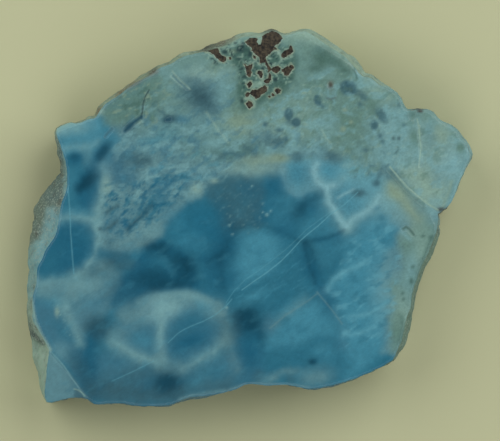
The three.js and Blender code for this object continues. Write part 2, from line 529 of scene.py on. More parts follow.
LEFT: tuple[Mark, ...] = (
    Pool("pale tip of the corner", WHITE, (70, 128), (2.6, 0.9), 12, 0.55),
    Pool("shadow at the left rim", BLUE, (62, 141), (0.7, 0.9), 0, 0.4),
    Vein("pale arc under the corner", WHITE, ((64, 150), (76, 148), (88, 147), (98, 142)), 0.7, 0.45),
    Pool("pale gap between the deep spots", MIST, (87, 157), (1.2, 1.6), 30, 0.45),
    Pool("first deep spot", DEEP, (75, 159), (1.35, 1.1), 10, 0.95, 2.6, 0.3),
    Pool("deep streak", DEEP, (100, 155), (2.1, 1.0), 58, 0.95, 2.6, 0.3),
    Pool("blue left of the cell", BRIGHT, (72, 182), (0.9, 2.6), 0, 0.35),
    Pool("navy core of the cell", NAVY, (88, 181), (2.1, 1.05), 42, 0.95, 2.8, 0.5),
    Pool("navy tail of the core", NAVY, (81, 188), (0.8, 0.7), 30, 0.6),
    Pool("foot of the cell", DEEP, (85, 203), (1.1, 1.3), 0, 0.5),
    Pool("blue under the cell", BRIGHT, (76, 213), (2.0, 0.7), 0, 0.5),
    Vein("web down the left, soft", MIST, ((108, 170), (108, 184), (103, 204), (98, 224)), 1.1, 0.7),
    Vein("web down the left", WHITE, ((103, 166), (107, 180), (103, 198), (98, 214), (97, 226)), 0.6, 0.6),
    Pool("greenish middle of the web", CREAM, (108, 184), (0.8, 1.3), 0, 0.45),
    Vein("web across the left", WHITE, ((56, 219), (70, 217), (84, 218), (96, 220)), 0.65, 0.6),
    Vein("web round the left cell", WHITE, ((97, 224), (98, 240), (95, 252), (90, 262), (84, 271),
        (77, 276)), 0.60, 0.72),
    Vein("web along the foot of the left cell", WHITE, ((78, 276), (66, 281), (52, 283), (38, 282)), 0.75,
        0.42),
    Pool("paler side of the left cell", BLUE, (48, 262), (1.5, 2.0), -20, 0.55),
    Pool("deep heart of the left cell", DEEP, (74, 256), (1.8, 1.8), 0, 0.55),
    Pool("deep top of the left cell", DEEP, (64, 230), (1.0, 1.2), 0, 0.45),
    Pool("pale gap in the left cell", BLUE, (88, 236), (0.8, 1.2), 0, 0.4),
    Pool("pale band under the left cell", MIST, (70, 291), (3.4, 1.0), -4, 0.4),
    Pool("white breath in the pale band", WHITE, (88, 286), (3.0, 1.5), 0, 0.35),
    Pool("blue break in the pale band", BRIGHT, (54, 302), (1.6, 1.0), 0, 0.4),
    Vein("feathered streak", WHITE, ((66, 304), (70, 316), (76, 330), (80, 344)), 0.75, 0.45),
    Pool("blue beside the feather", BRIGHT, (94, 306), (1.5, 1.2), 0, 0.35),
    Pool("dark root of the feather", BLUE, (62, 331), (0.8, 2.0), 35, 0.45),
    Mottle("feathers", WHITE, ((54, 304), (64, 306), (76, 326), (84, 350), (74, 344), (62, 328), (54, 314)),
        (1.6, 0.25), -55, 0.1, 0.5, 0.8, 31),
    Pool("feathered knot", CREAM, (57, 312), (0.35, 0.7), 0, 0.6, 2.2, 0.2),
    Pool("steel in the pale stone", STEEL, (100, 304), (3.0, 1.8), 20, 0.5),
    Pool("steel by the seam", STEEL, (84, 322), (1.6, 1.8), 0, 0.55),
    Pool("slate under the web", SLATE, (118, 262), (2.6, 1.5), -10, 0.75, 2.8),
    Pool("slate spot over it", SLATE, (110, 243), (0.8, 0.6), 0, 0.6),
    Pool("blue in the pale stone", BLUE, (126, 300), (1.6, 2.2), -25, 0.55),
    Pool("dark seam", SLATE, (97, 329), (1.9, 2.0), 25, 0.9, 2.6, 0.5),
    Pool("navy core of the seam", NAVY, (98, 328), (1.6, 1.5), 20, 0.6),
    Vein("seam downwards", DEEP, ((92, 342), (87, 354), (84, 366), (86, 380), (92, 394)), 1.1, 0.8),
    Pool("deep foot of the seam", DEEP, (90, 368), (1.1, 2.2), 0, 0.9),
    Pool("deep rim under the seam", DEEP, (96, 392), (1.6, 0.9), 0, 0.5),
    Pool("paler stone right of the seam", BRIGHT, (110, 344), (1.2, 1.0), 0, 0.45),
)

CLOUDED: tuple[Mark, ...] = (
    Pool("slate cloud", SLATE, (121, 170), (1.3, 2.4), 10, 0.95, 2.8, 0.5),
    Pool("deep heart of the slate cloud", DEEP, (122, 172), (0.8, 1.6), 10, 0.5, 2.4, 0.5),
    Pool("grey cloud beside it", SLATE, (138, 162), (3.0, 1.7), 8, 0.55),
    Pool("pale spot over the cloud", WHITE, (127, 146), (1.3, 0.8), 0, 0.5),
    Vein("pale bow", WHITE, ((142, 148), (150, 152), (156, 158), (156, 166), (150, 172)), 0.5, 0.7),
    Pool("bright stone under the dark spot", BRIGHT, (158, 138), (3.2, 1.4), 25, 0.6),
    Pool("light patch, upper slope", WHITE, (172, 84), (1.4, 2.4), 0, 0.5),
    Pool("sea green on the slope's foot", SEA, (146, 130), (2.4, 1.2), 0, 0.45),
    Pool("grey cloud under the crown", SLATE, (200, 95), (2.8, 1.9), -10, 0.85, 2.2),
    Pool("root of the grey cloud", SLATE, (208, 110), (1.8, 1.0), 0, 0.5),
    Pool("sea stone right of the grey cloud", SEA, (232, 112), (1.8, 3.4), 0, 0.7),
    Pool("cream spot, top left", CREAM, (208, 72), (2.4, 1.0), 0, 0.45),
    Pool("olive spot under the left band", OLIVE, (214, 68), (1.2, 0.7), 0, 0.55),
    Pool("yellow-green stone", CREAM, (236, 126), (2.6, 1.4), 0, 0.4),
    Vein("pale thread in the cloud", WHITE, ((206, 112), (212, 122), (220, 133), (228, 141), (234, 150)),
        0.4, 0.55, 1.5, 0.5),
    Pool("white stone by the thread", WHITE, (222, 134), (1.6, 2.2), 40, 0.4),
    Mottle("inky streaks", BLUE, ((106, 182), (130, 182), (150, 170), (176, 168), (192, 178), (186, 200),
        (168, 214), (150, 236), (136, 242), (112, 240), (102, 226), (104, 204)), (2.0, 1.1), 42, -0.1, 0.75,
        1.6, 41),
    Mottle("darker inky streaks", DEEP, ((106, 190), (130, 190), (150, 178), (176, 176), (184, 196),
        (166, 212), (146, 232), (126, 236), (108, 226)), (1.5, 0.8), 45, 0.1, 0.85, 1.6, 42),
    Pool("inky patch", BLUE, (167, 186), (1.8, 1.6), 35, 0.75),
    Pool("inky patch, lower", BLUE, (150, 202), (3.0, 1.4), 30, 0.5),
    Pool("inky patch, foot", STEEL, (116, 224), (2.2, 2.0), 10, 0.5),
    Vein("thin dark thread", BLUE, ((176, 177), (186, 178), (195, 180)), 0.25, 0.55, 1.6, 0.3),
    Pool("pale cloud", WHITE, (146, 233), (2.6, 1.2), 28, 0.55),
    Pool("grey middle of the pale cloud", MIST, (134, 242), (2.4, 1.0), 10, 0.6),
    Pool("pale arm of the cloud", MIST, (172, 212), (2.4, 0.8), 42, 0.7),
    Pool("cream patch by the blue cell", CREAM, (196, 190), (0.9, 1.2), -20, 0.65),
    Pool("cream patch under it", WHITE, (192, 197), (1.2, 0.6), 20, 0.55),
    Pool("cream fleck", CREAM, (214, 180), (0.6, 0.45), 0, 0.6, 2.2, 0.4),
    Pool("blue patch by the thread", BLUE, (206, 175), (1.3, 0.6), 0, 0.6),
    Pool("blue-grey swell", BLUE, (232, 156), (3.2, 0.8), 3, 0.4),
    Pool("slate swell, right", SLATE, (250, 151), (2.4, 0.8), -10, 0.5),
    Pool("slate swell over it", SLATE, (268, 142), (2.0, 1.3), 0, 0.5),
    Mottle("grey mottling", SLATE, ((236, 134), (262, 124), (290, 128), (290, 148), (262, 158), (236, 156),
        (216, 160), (204, 150)), (1.4, 0.9), 20, 0.0, 0.4, 1.5, 43),
    Mottle("white flecks in the cloud", WHITE, ((120, 132), (180, 120), (236, 130), (300, 126), (300, 150),
        (262, 168), (214, 184), (180, 200), (140, 200), (120, 170)), (2.0, 1.1), 25, 0.05, 0.55, 2.0, 44),
    Mottle("blue breath in the cloud", BRIGHT, ((120, 140), (190, 140), (240, 150), (230, 172), (190, 184),
        (150, 190), (120, 180)), (2.6, 1.5), 25, 0.0, 0.5, 2.0, 45),
    Vein("whitish edge over the yellow patch", WHITE, ((258, 150), (274, 149), (292, 149), (300, 152)), 0.45,
        0.6),
)
BLUE_CELLS: tuple[Mark, ...] = (
    Pool("saturated cell", BLUE, (196, 218), (4.0, 3.0), 30, 0.4),
    Pool("deep side of the saturated cell", DEEP, (212, 228), (3.0, 2.6), 0, 0.5),
    Pool("bright floor of the saturated cell", BRIGHT, (190, 240), (2.4, 1.2), 10, 0.5),
    Pool("bright stone under the pale arm", BRIGHT, (178, 222), (1.0, 1.6), 30, 0.35),
    Pool("dark corner beside it", SLATE, (230, 224), (1.5, 2.0), 0, 0.8),
    Pool("dark corner's core", NAVY, (231, 228), (0.7, 0.9), 0, 0.4),
    Pool("deep seam to the middle", DEEP, (224, 250), (1.6, 2.8), -25, 0.9),
    Pool("deep column", DEEP, (216, 276), (2.4, 2.8), 0, 0.65),
    Pool("deep arm", DEEP, (206, 258), (1.8, 0.8), 10, 0.6),
    Pool("navy cap", NAVY, (158, 247), (1.8, 0.8), 0, 0.6),
    Pool("navy right", NAVY, (184, 267), (1.9, 2.4), 35, 0.95, 3.0),
    Pool("navy left", NAVY, (148, 281), (3.2, 1.9), 12, 1.0, 3.0),
    Pool("navy floor", NAVY, (172, 283), (3.0, 0.9), 4, 0.8),
    Pool("light in the navy", BLUE, (163, 261), (1.7, 1.3), -15, 0.5),
    Pool("deep pool in the upper cells", DEEP, (312, 203), (1.9, 1.7), 10, 0.9, 2.8),
    Pool("core of the pool", NAVY, (303, 208), (0.7, 1.2), 0, 0.55),
    Pool("pool beside it", DEEP, (275, 185), (1.7, 1.6), 15, 0.75, 2.8),
    Pool("pool's left side", DEEP, (250, 190), (2.0, 1.4), 0, 0.4),
    Pool("deep side of that cell", DEEP, (268, 206), (1.6, 1.8), 0, 0.5),
    Pool("deep foot of that cell", DEEP, (290, 222), (1.6, 1.4), 0, 0.45),
    Pool("dull stone between the cells", DEEP, (282, 231), (1.5, 1.5), 0, 0.6),
    Pool("deep stone between the cells", DEEP, (262, 218), (1.4, 0.8), 0, 0.45),
    Pool("light in the middle cell", BRIGHT, (257, 265), (1.6, 1.0), 20, 0.75),
    Pool("light over it", BRIGHT, (262, 243), (1.8, 1.1), 0, 0.5),
    Pool("blue right of the middle cell", BLUE, (286, 262), (1.6, 1.6), 0, 0.5),
    Pool("left eyelid", DEEP, (232, 280), (1.6, 1.8), 0, 0.45),
    Pool("navy eye", NAVY, (247, 321), (2.5, 2.6), 0, 0.95, 3.2),
    Pool("navy eye, right", NAVY, (259, 334), (0.9, 1.6), 15, 0.7),
    Pool("navy eye, left", NAVY, (237, 336), (0.6, 1.4), 0, 0.7),
    Pool("deep column under the eye", DEEP, (247, 356), (2.4, 3.4), 0, 0.9, 2.8),
    Pool("slate foot of the column", SLATE, (258, 378), (1.0, 1.0), 0, 0.6),
    Pool("bright streak over the eye", BRIGHT, (254, 297), (2.8, 0.8), 28, 0.55),
    Pool("saturated streak", BLUE, (280, 290), (3.4, 1.0), 38, 0.5),
    Vein("mauve diagonal", MIST, ((304, 301), (294, 309), (284, 317), (272, 326)), 0.65, 0.45),
    Pool("mauve stone right of the eye", STEEL, (269, 324), (1.1, 1.6), 0, 0.6),
    Pool("brightest heart", BRIGHT, (306, 318), (2.2, 1.2), 15, 0.6),
    Pool("slate patch in the heart", BLUE, (285, 321), (0.9, 0.7), 0, 0.6),
    Pool("blue under the heart", BLUE, (276, 357), (2.8, 1.3), 5, 0.6),
    Pool("blue right of the heart", BLUE, (326, 312), (0.9, 1.4), 0, 0.45),
    Pool("bright foot of the heart", BRIGHT, (325, 352), (1.8, 1.3), 0, 0.5),
    Pool("pale foot, left", MIST, (270, 379), (1.5, 0.8), 10, 0.7),
    Pool("pale foot, middle", MIST, (288, 372), (2.0, 0.6), 5, 0.6),
    Pool("pale foot, right", MIST, (316, 377), (2.6, 1.4), 10, 0.75),
    Pool("slate spot in the foot", SLATE, (291, 380), (0.8, 0.6), 0, 0.6),
    Vein("navy seam", NAVY, ((306, 243), (311, 252), (313, 262), (315, 272)), 0.75, 0.65),
    Vein("deep seam on the right", DEEP, ((314, 268), (318, 282), (323, 294)), 0.75, 0.65),
    Vein("steel seam on the right", STEEL, ((323, 294), (331, 308), (338, 320), (343, 332), (343, 344)), 0.8,
        0.45),
    Vein("seam to the V", DEEP, ((316, 240), (328, 238), (338, 235), (343, 230)), 0.6, 0.7),
    Pool("deep stone left of the seam", DEEP, (306, 262), (0.9, 2.2), 10, 0.5),
    Pool("deep stone right of the seam", DEEP, (330, 302), (1.2, 1.4), -20, 0.6),
    Pool("saturated stone right of the seam", BLUE, (328, 252), (2.0, 2.0), 0, 0.5),
    Pool("blue under the V", BLUE, (356, 230), (1.2, 0.7), 10, 0.6),
    Pool("blue beside the V", BLUE, (366, 219), (1.4, 0.8), 15, 0.55),
    Pool("blue at the lower rim", BLUE, (346, 366), (1.6, 1.4), 50, 0.55),
    Pool("navy pool by the lower edge", NAVY, (168, 383), (2.3, 2.1), 15, 1.0, 2.8),
    Pool("slate over the pool", SLATE, (158, 372), (1.6, 0.8), 0, 0.5),
    Pool("deep skirt of the pool", DEEP, (150, 384), (2.4, 1.6), 10, 0.5),
    Pool("deep skirt, right", DEEP, (186, 378), (1.6, 1.6), 10, 0.5),
    Pool("bright stone right of the pool", BRIGHT, (194, 384), (1.4, 1.6), 0, 0.4),
    Pool("bright stone under the arc", BRIGHT, (212, 374), (2.6, 1.4), 15, 0.4),
)

WEBS: tuple[Mark, ...] = (
    Vein("top arc, soft", MIST, ((124, 313), (134, 307), (148, 302), (166, 300), (186, 299), (202, 304),
        (214, 312)), 1.3, 0.75, 2.4, 0.2),
    Vein("top arc", WHITE, ((140, 302), (155, 298), (172, 296), (187, 295), (197, 297), (206, 301),
        (214, 306), (222, 312)), 0.75, 0.6, 3.0, 0.1),
    Pool("plume", WHITE, (168, 308), (2.4, 1.3), 12, 0.95, 2.2, 0.3),
    Pool("breath left of the plume", MIST, (148, 310), (2.4, 1.8), 20, 0.7, 2.2, 0.3),
    Vein("upright", WHITE, ((163, 306), (162, 320), (160, 336), (162, 350), (164, 360)), 0.8, 0.8, 1.8, 0.3),
    Pool("left room of the cell", MIST, (132, 322), (2.4, 1.4), 20, 0.5),
    Pool("blue in the left room", BRIGHT, (142, 340), (1.8, 1.2), 0, 0.4),
    Pool("mist at the left of the cell", MIST, (118, 334), (1.6, 1.0), 0, 0.5),
    Pool("right room of the cell", BLUE, (190, 322), (2.6, 1.6), 25, 0.55),
    Pool("deep room", DEEP, (194, 340), (2.8, 1.2), 12, 0.85),
    Pool("deep core of the room", DEEP, (184, 345), (1.0, 0.8), 0, 0.5),
    Pool("bright corner of the room", BRIGHT, (204, 306), (1.6, 1.0), -30, 0.5),
    Vein("mauve side of the cell", MIST, ((218, 306), (224, 316), (227, 326), (226, 338)), 0.85, 0.65),
    Vein("lower arc, left, soft", MIST, ((116, 346), (128, 353), (142, 359), (152, 360), (162, 354)), 0.9,
        0.6),
    Vein("lower arc, left", WHITE, ((112, 341), (124, 349), (134, 355), (146, 359), (158, 363)), 0.72, 0.62),
    Pool("grey foot of the arc", MIST, (170, 366), (2.4, 1.2), -8, 0.7),
    Vein("lower arc, right", WHITE, ((182, 368), (194, 363), (205, 356), (216, 348), (226, 340)), 0.8, 0.7),
    Vein("lower arc's end", MIST, ((227, 340), (231, 348), (234, 358), (237, 369)), 0.9, 0.6),
    Vein("V, soft", MIST, ((318, 182), (328, 192), (334, 206), (342, 220), (348, 226), (356, 216),
        (370, 207), (386, 198)), 1.3, 0.6),
    Vein("V, left arm", WHITE, ((328, 190), (330, 202), (336, 213), (342, 221), (347, 227)), 0.7, 0.7, 1.8),
    Vein("V, right arm", WHITE, ((348, 227), (354, 221), (358, 216), (366, 211), (374, 206), (380, 200),
        (386, 197)), 0.8, 0.6, 1.8),
    Pool("ice inside the V", ICE, (352, 206), (2.8, 1.8), 15, 0.6),
    Pool("blue room over the V", BRIGHT, (328, 170), (2.2, 1.5), 10, 0.75),
    Vein("web over the V", WHITE, ((313, 166), (317, 179), (322, 186), (330, 188), (339, 184), (344, 178)),
        0.7, 0.6),
    Pool("pale stone left of the web", WHITE, (308, 180), (1.0, 1.3), 0, 0.3),
    Pool("blue stone left of that", BRIGHT, (293, 170), (1.3, 1.8), 0, 0.7),
    Vein("border of the pool", FROST, ((282, 172), (285, 184), (290, 192), (299, 195), (309, 190),
        (320, 188)), 0.5, 0.28),
    Pool("light stone right of the V", WHITE, (390, 208), (2.2, 1.6), -20, 0.45),
    Pool("light blue right of the V", BRIGHT, (382, 224), (2.0, 1.4), 0, 0.45),
)

RIGHT: tuple[Mark, ...] = (
    Pool("tan band, top", TAN, (396, 192), (1.6, 0.9), -40, 0.75),
    Vein("tan band", TAN, ((394, 190), (402, 200), (410, 210), (418, 220)), 1.0, 0.75),
    Pool("sea stone above the tan", SEA, (364, 156), (2.6, 2.6), 0, 0.5),
    Pool("slate stone at the fracture", SLATE, (392, 174), (1.4, 0.8), -35, 0.55),
    Vein("shadow under the fracture", MOSS, ((389, 171), (397, 181), (405, 190), (414, 198), (424, 206)),
        0.34, 0.5, 2.0, 0.2),
    Pool("grey-green stone under the tan", SEA, (424, 232), (1.6, 2.6), -10, 0.5),
    Pool("white stone, lobe", WHITE, (406, 158), (2.0, 1.6), 0, 0.45),
    Pool("grey breath in the lobe", MIST, (438, 176), (1.3, 1.0), 0, 0.5),
    Pool("light blue in the lobe", FROST, (452, 163), (2.0, 2.4), 0, 0.42),
    Pool("sea stone at the lobe's top", SEA, (430, 116), (2.6, 1.0), -10, 0.6),
    Pool("cream stone in the lobe", TAN, (442, 134), (1.4, 1.8), 0, 0.4),
    Pool("mist in the lobe", MIST, (430, 138), (1.0, 2.2), 0, 0.45),
    Vein("grey stripes at the lobe's rim", TAN, ((452, 182), (448, 194), (443, 206)), 0.32, 0.5, 1.8, 0.5),
    Pool("grey oval", OLIVE, (414.5, 139), (0.65, 1.6), 12, 0.85, 3.0, 0.3),
    Pool("spot at the lobe's rim", OLIVE, (460.5, 147.5), (0.65, 0.8), 0, 0.85, 2.8, 0.3),
    Vein("white veil by the crack", WHITE, ((414, 144), (418, 152), (421, 160)), 0.6, 0.55),
    Pool("white end of the fracture", WHITE, (435, 211), (0.9, 0.5), -20, 0.6),
    Pool("fuzzy spot", SLATE, (348.5, 87.5), (1.45, 1.35), 0, 0.92, 9.0, 0.7),
    Pool("arm of the fuzzy spot", SLATE, (357, 92), (0.9, 0.6), 0, 0.6, 5.0, 0.4),
    Pool("core of the fuzzy spot", INK, (350, 89.5), (0.45, 0.35), 0, 0.45),
    Pool("fading spot", SLATE, (364, 97), (0.9, 0.6), -30, 0.65, 5.0, 0.4),
    Pool("round spot", SLATE, (374, 125), (0.7, 0.82), 0, 0.95, 7.0, 0.3),
    Pool("long spot", SLATE, (381.5, 116), (1.5, 0.8), -52, 0.88, 6.0, 0.4),
    Pool("faint spot over it", OLIVE, (374, 105), (1.2, 0.7), -60, 0.5),
    Pool("oval spot", SLATE, (317.5, 100), (0.66, 0.9), 12, 0.9, 8.0, 0.2),
    Vein("tail of the oval spot", SLATE, ((320, 104), (323, 107)), 0.25, 0.8, 1.6, 0.1),
    Pool("twin spot, upper", SLATE, (288.5, 114.5), (0.74, 1.1), 8, 0.92, 8.0, 0.4),
    Pool("twin spot, lower", SLATE, (296, 122.5), (0.78, 0.8), 10, 0.92, 8.0, 0.4),
    Pool("twin spots' bridge", SLATE, (290, 123), (0.8, 0.5), -10, 0.6, 4.0, 0.3),
    Pool("small slanted spot", SLATE, (380, 136), (0.35, 0.5), 25, 0.75, 2.4, 0.2),
    Pool("small slanted spot, lower", SLATE, (383, 141), (0.35, 0.5), 30, 0.7, 2.4, 0.2),
    Pool("moss field, top", MOSS, (322, 56), (1.6, 1.7), 0, 0.75, 3.0),
    Pool("moss field, right", MOSS, (337, 62), (2.0, 1.0), -25, 0.7, 3.0),
    Pool("moss field, left", MOSS, (315, 68), (1.0, 0.7), 10, 0.65, 3.0),
    Pool("moss field, foot", MOSS, (345, 70), (1.0, 0.5), -10, 0.55, 3.0),
    Pool("pale crust at the crown", CREAM, (304, 34), (3.4, 1.4), 0, 0.7),
    Vein("pale bevel, crown", CREAM, ((312, 38), (326, 44), (338, 52), (352, 64)), 0.7, 0.45, 2.0, 0.8),
    Pool("white wedge", WHITE, (358, 74), (0.5, 0.9), 20, 0.7, 2.6, 0.2),
    Pool("olive field", OLIVE, (352, 116), (2.6, 2.6), 0, 0.6, 2.6),
    Pool("olive field, foot", OLIVE, (350, 140), (1.8, 1.6), 0, 0.5),
    Pool("light gap left of the olive", WHITE, (326, 126), (1.6, 2.0), 0, 0.5),
    Pool("light gap, top right", WHITE, (368, 84), (1.6, 0.8), 0, 0.5),
    Pool("light field, right", WHITE, (396, 122), (1.8, 2.4), 0, 0.45),
    Pool("rust round the speck", RUST, (331, 86), (0.5, 0.7), 15, 0.5, 2.6, 0.1),
    Pool("rust at the notch", MOSS, (412, 115), (0.7, 0.8), 0, 0.6, 2.4, 0.2),
    Pool("rust on the rim", UMBER, (420, 111), (0.5, 0.25), -15, 0.8, 2.4, 0.1),
    Vein("streak beside the spot in the V", FROST, ((338, 198), (346, 193), (354, 189)), 0.2, 0.6, 1.8, 0.3),
    Pool("slate spot by the V", SLATE, (376.5, 183.5), (0.65, 0.6), 0, 0.8, 2.8, 0.2),
    Pool("blue spots", BLUE, (376, 208), (0.6, 0.4), 10, 0.65, 2.2, 0.3),
    Pool("blue spots, lower", BLUE, (382, 218), (0.6, 0.7), 0, 0.5, 2.2, 0.3),
    Vein("dark streak", SLATE, ((383, 166), (381, 172), (378, 178)), 0.35, 0.55, 1.6, 0.3),
    Vein("pale streak by the mark", WHITE, ((402, 232), (406, 236), (410, 240)), 0.3, 0.7, 1.6, 0.2),
    Pool("olive stone, right", OLIVE, (408, 246), (1.2, 1.0), 0, 0.6),
    Pool("sea stone, right", SEA, (396, 288), (1.0, 1.6), 0, 0.6),
    Pool("olive foot, right", OLIVE, (396, 328), (1.0, 3.0), 0, 0.6),
    Pool("light strip, right", WHITE, (410, 268), (0.9, 3.4), -8, 0.45),
    Vein("moss edge", MOSS, ((434, 236), (427, 250), (422, 264), (418, 276), (415, 288), (413, 300)), 0.35,
        0.6, 2.0, 0.2),
    Vein("moss streak", MOSS, ((401, 316), (404, 326), (402, 336), (401, 342)), 0.4, 0.5, 1.8, 0.2),
    Mottle("fibrous streaks, pale", ICE, ((346, 240), (392, 216), (400, 250), (398, 300), (390, 345),
        (346, 345), (336, 316), (330, 290)), (3.0, 1.2), 30, 0.0, 0.42, 1.5, 51, 1.0, 0.55),
    Mottle("fibrous streaks, deep", BLUE, ((340, 240), (386, 222), (392, 252), (392, 300), (388, 340),
        (346, 345), (334, 316), (322, 280)), (2.6, 1.1), 24, 0.1, 0.42, 1.5, 52, 1.0, 0.5),
    Vein("pale streak in the right cells 1", ICE, ((328, 290), (333, 280), (346, 272), (364, 262)), 0.45,
        0.6),
    Vein("pale streak in the right cells 2", ICE, ((350, 316), (362, 316), (376, 310), (388, 300)), 0.4,
        0.6),
    Vein("pale streak in the right cells 3", ICE, ((344, 334), (360, 333), (376, 327)), 0.4, 0.55),
    Mottle("slate mottle, right", SLATE, ((388, 240), (402, 240), (404, 262), (392, 264)), (0.9, 0.5), 30,
        0.1, 0.5, 1.0, 53),
    Mottle("pale flecks under the crown", WHITE, ((262, 104), (300, 84), (345, 76), (372, 90), (402, 100),
        (402, 160), (360, 176), (340, 150), (300, 150), (262, 130)), (1.5, 1.1), 20, 0.05, 0.55, 2.0, 54),
    Mottle("olive flecks under the crown", OLIVE, ((290, 40), (345, 50), (372, 84), (400, 100), (380, 130),
        (366, 160), (340, 150), (300, 110), (270, 110)), (1.8, 1.2), 20, 0.05, 0.45, 2.0, 55),
    Mottle("streaks under the slot line", BRIGHT, ((236, 270), (286, 238), (304, 262), (308, 290),
        (270, 300), (232, 300)), (3.4, 0.5), 32, 0.06, 0.42, 1.5, 61, 1.0),
    Mottle("grey flecks over the V", SLATE, ((374, 146), (400, 146), (398, 176), (384, 184), (352, 178),
        (352, 156)), (1.1, 0.8), 40, 0.15, 0.5, 1.6, 56),
)

HAIRLINES: tuple[Vein, ...] = (
    Vein("slot", INK, ((149, 90), (145, 97), (143, 104), (142.5, 111), (141, 118)), 0.11, 0.75, 1.8, 0.1),
    Vein("slot's foot", NAVY, ((141, 117), (137, 120), (133, 123), (129, 127), (125, 131)), 0.28, 0.85, 2.0,
        0.1),
    Vein("short dark slot", SLATE, ((112, 129), (108, 133), (105, 137)), 0.2, 0.6, 2.0, 0.1),
    Vein("double line, upper", CREAM, ((172, 71), (176, 76), (182, 82), (190, 89)), 0.12, 0.5, 1.8, 0.2),
    Vein("double line, lower", CREAM, ((171, 76), (176, 82), (182, 87)), 0.10, 0.35, 1.8, 0.2),
    Vein("double line, shadow", SLATE, ((173, 76), (178, 81), (185, 86)), 0.14, 0.5, 1.8, 0.1),
    Vein("upright thread", ICE, ((68, 186), (69, 200), (70, 212), (70.5, 232), (72, 252), (74, 274)), 0.075,
        0.6, 1.6, 0.1),
    Vein("long thread, right", ICE, ((358, 192), (345, 204), (331, 214), (318, 226), (308, 234), (300, 241),
        (290, 252), (280, 262), (266, 273), (253, 282), (242, 290)), 0.07, 0.7, 1.8, 0.1),
    Vein("long thread's twin", ICE, ((332, 211), (318, 221), (306, 230), (296, 240), (284, 251), (270, 262),
        (258, 271), (246, 279), (234, 291), (226, 303)), 0.06, 0.32, 1.8, 0.1),
    Vein("long thread, left", ICE, ((232, 299), (225, 307), (215, 315), (204, 321), (194, 325), (185, 329),
        (177, 334), (168, 343)), 0.07, 0.5, 1.8, 0.1),
    Vein("fine thread at the foot", ICE, ((154, 361), (142, 367), (130, 373), (112, 381)), 0.07, 0.4, 1.8,
        0.1),
    Vein("crack along the facet", WHITE, ((50, 351), (57, 358), (64, 366), (71, 377), (78, 387), (84, 396)),
        0.07, 0.55, 1.8, 0.1),
    Vein("line in the seam on the right", MIST, ((317, 292), (326, 303), (334, 313), (342, 324)), 0.12, 0.5,
        1.8, 0.2),
    Vein("line of the mauve diagonal", MIST, ((317, 294), (308, 301), (297, 308), (285, 316), (270, 328)),
        0.14, 0.45, 1.8, 0.2),
    Vein("rim of the facet's notch", CREAM, ((74, 389), (78, 390), (82, 393), (86, 397)), 0.09, 0.5, 1.8,
        0.1),
    Vein("white crack in the lobe", CREAM, ((417, 119), (419, 127), (420, 138), (421, 148), (420, 158),
        (419, 167)), 0.09, 0.75, 1.8, 0.1),
    Vein("fracture", CREAM, ((390, 167), (399, 178), (408, 188), (418, 196), (428, 204), (438, 210)), 0.11,
        0.9, 2.0, 0.1),
    Vein("shadow of the wedge", MOSS, ((354, 68), (357, 78)), 0.14, 0.7, 1.6, 0.1),
    Vein("check mark", MOSS, ((403, 229), (406, 227), (409, 229), (414, 235)), 0.18, 0.85, 1.8, 0.1),
    Vein("brown dash", UMBER, ((327, 98), (331, 99), (335, 97.5)), 0.16, 0.5, 1.6, 0.1),
    Vein("cream arc", CREAM, ((322, 130), (326, 138), (331, 143)), 0.16, 0.35, 1.6, 0.2),
)

FINE: tuple[Mark, ...] = (
    Zone("dark notch in the facet", SLATE, ((74, 388), (80, 389), (85, 395), (84, 398), (74, 398)), 0.4, 0.8,
        0.1),
    Pool("tail of the dark spot", STEEL, (181, 119.5), (1.3, 0.65), 0, 0.75, 3.0, 0.3),
    Pool("dark spot", SLATE, (169.5, 119), (1.2, 0.65), 8, 0.95, 3.4, 0.2),
    Pool("dark core of the spot", NAVY, (168, 120), (0.75, 0.42), 10, 0.8, 2.6, 0.2),
    Vein("head of the dark spot", SLATE, ((158, 110), (163, 113), (168, 117)), 0.2, 0.6, 1.8, 0.1),
    # painted highlight: a thin light line along the lower rim, where its small bevel would catch the light
    Vein("painted highlight on the lower rim", MIST, ((180, 399), (192, 395), (210, 392), (228, 390), (240, 386), (260, 384),
        (284, 385), (308, 387)), 0.25, 0.55, 1.8, 0.1),
    # painted highlight: a light line along the left bevel, where the edge would catch the light
    Vein("painted highlight on the left bevel", CREAM, ((31, 300), (33, 312), (35, 322), (40, 333), (45, 341), (50, 350)),
        0.24, 0.75, 1.8, 0.2),
    Mottle("dust in the dull stone", MIST, ((206, 190), (240, 178), (262, 190), (266, 226), (246, 234),
        (222, 222)), (0.7, 0.55), 20, 0.24, 0.5, 1.2, 61),
    Mottle("fine grain of the blue", DEEP, ((60, 220), (210, 200), (320, 190), (350, 240), (340, 385),
        (60, 400)), (3.2, 1.6), 28, 0.0, 0.2, 3.0, 62),
    Mottle("fine mist in the blue", BRIGHT, ((60, 220), (210, 200), (320, 190), (350, 240), (340, 385),
        (60, 400)), (3.6, 1.4), 32, 0.1, 0.18, 3.0, 63),
)

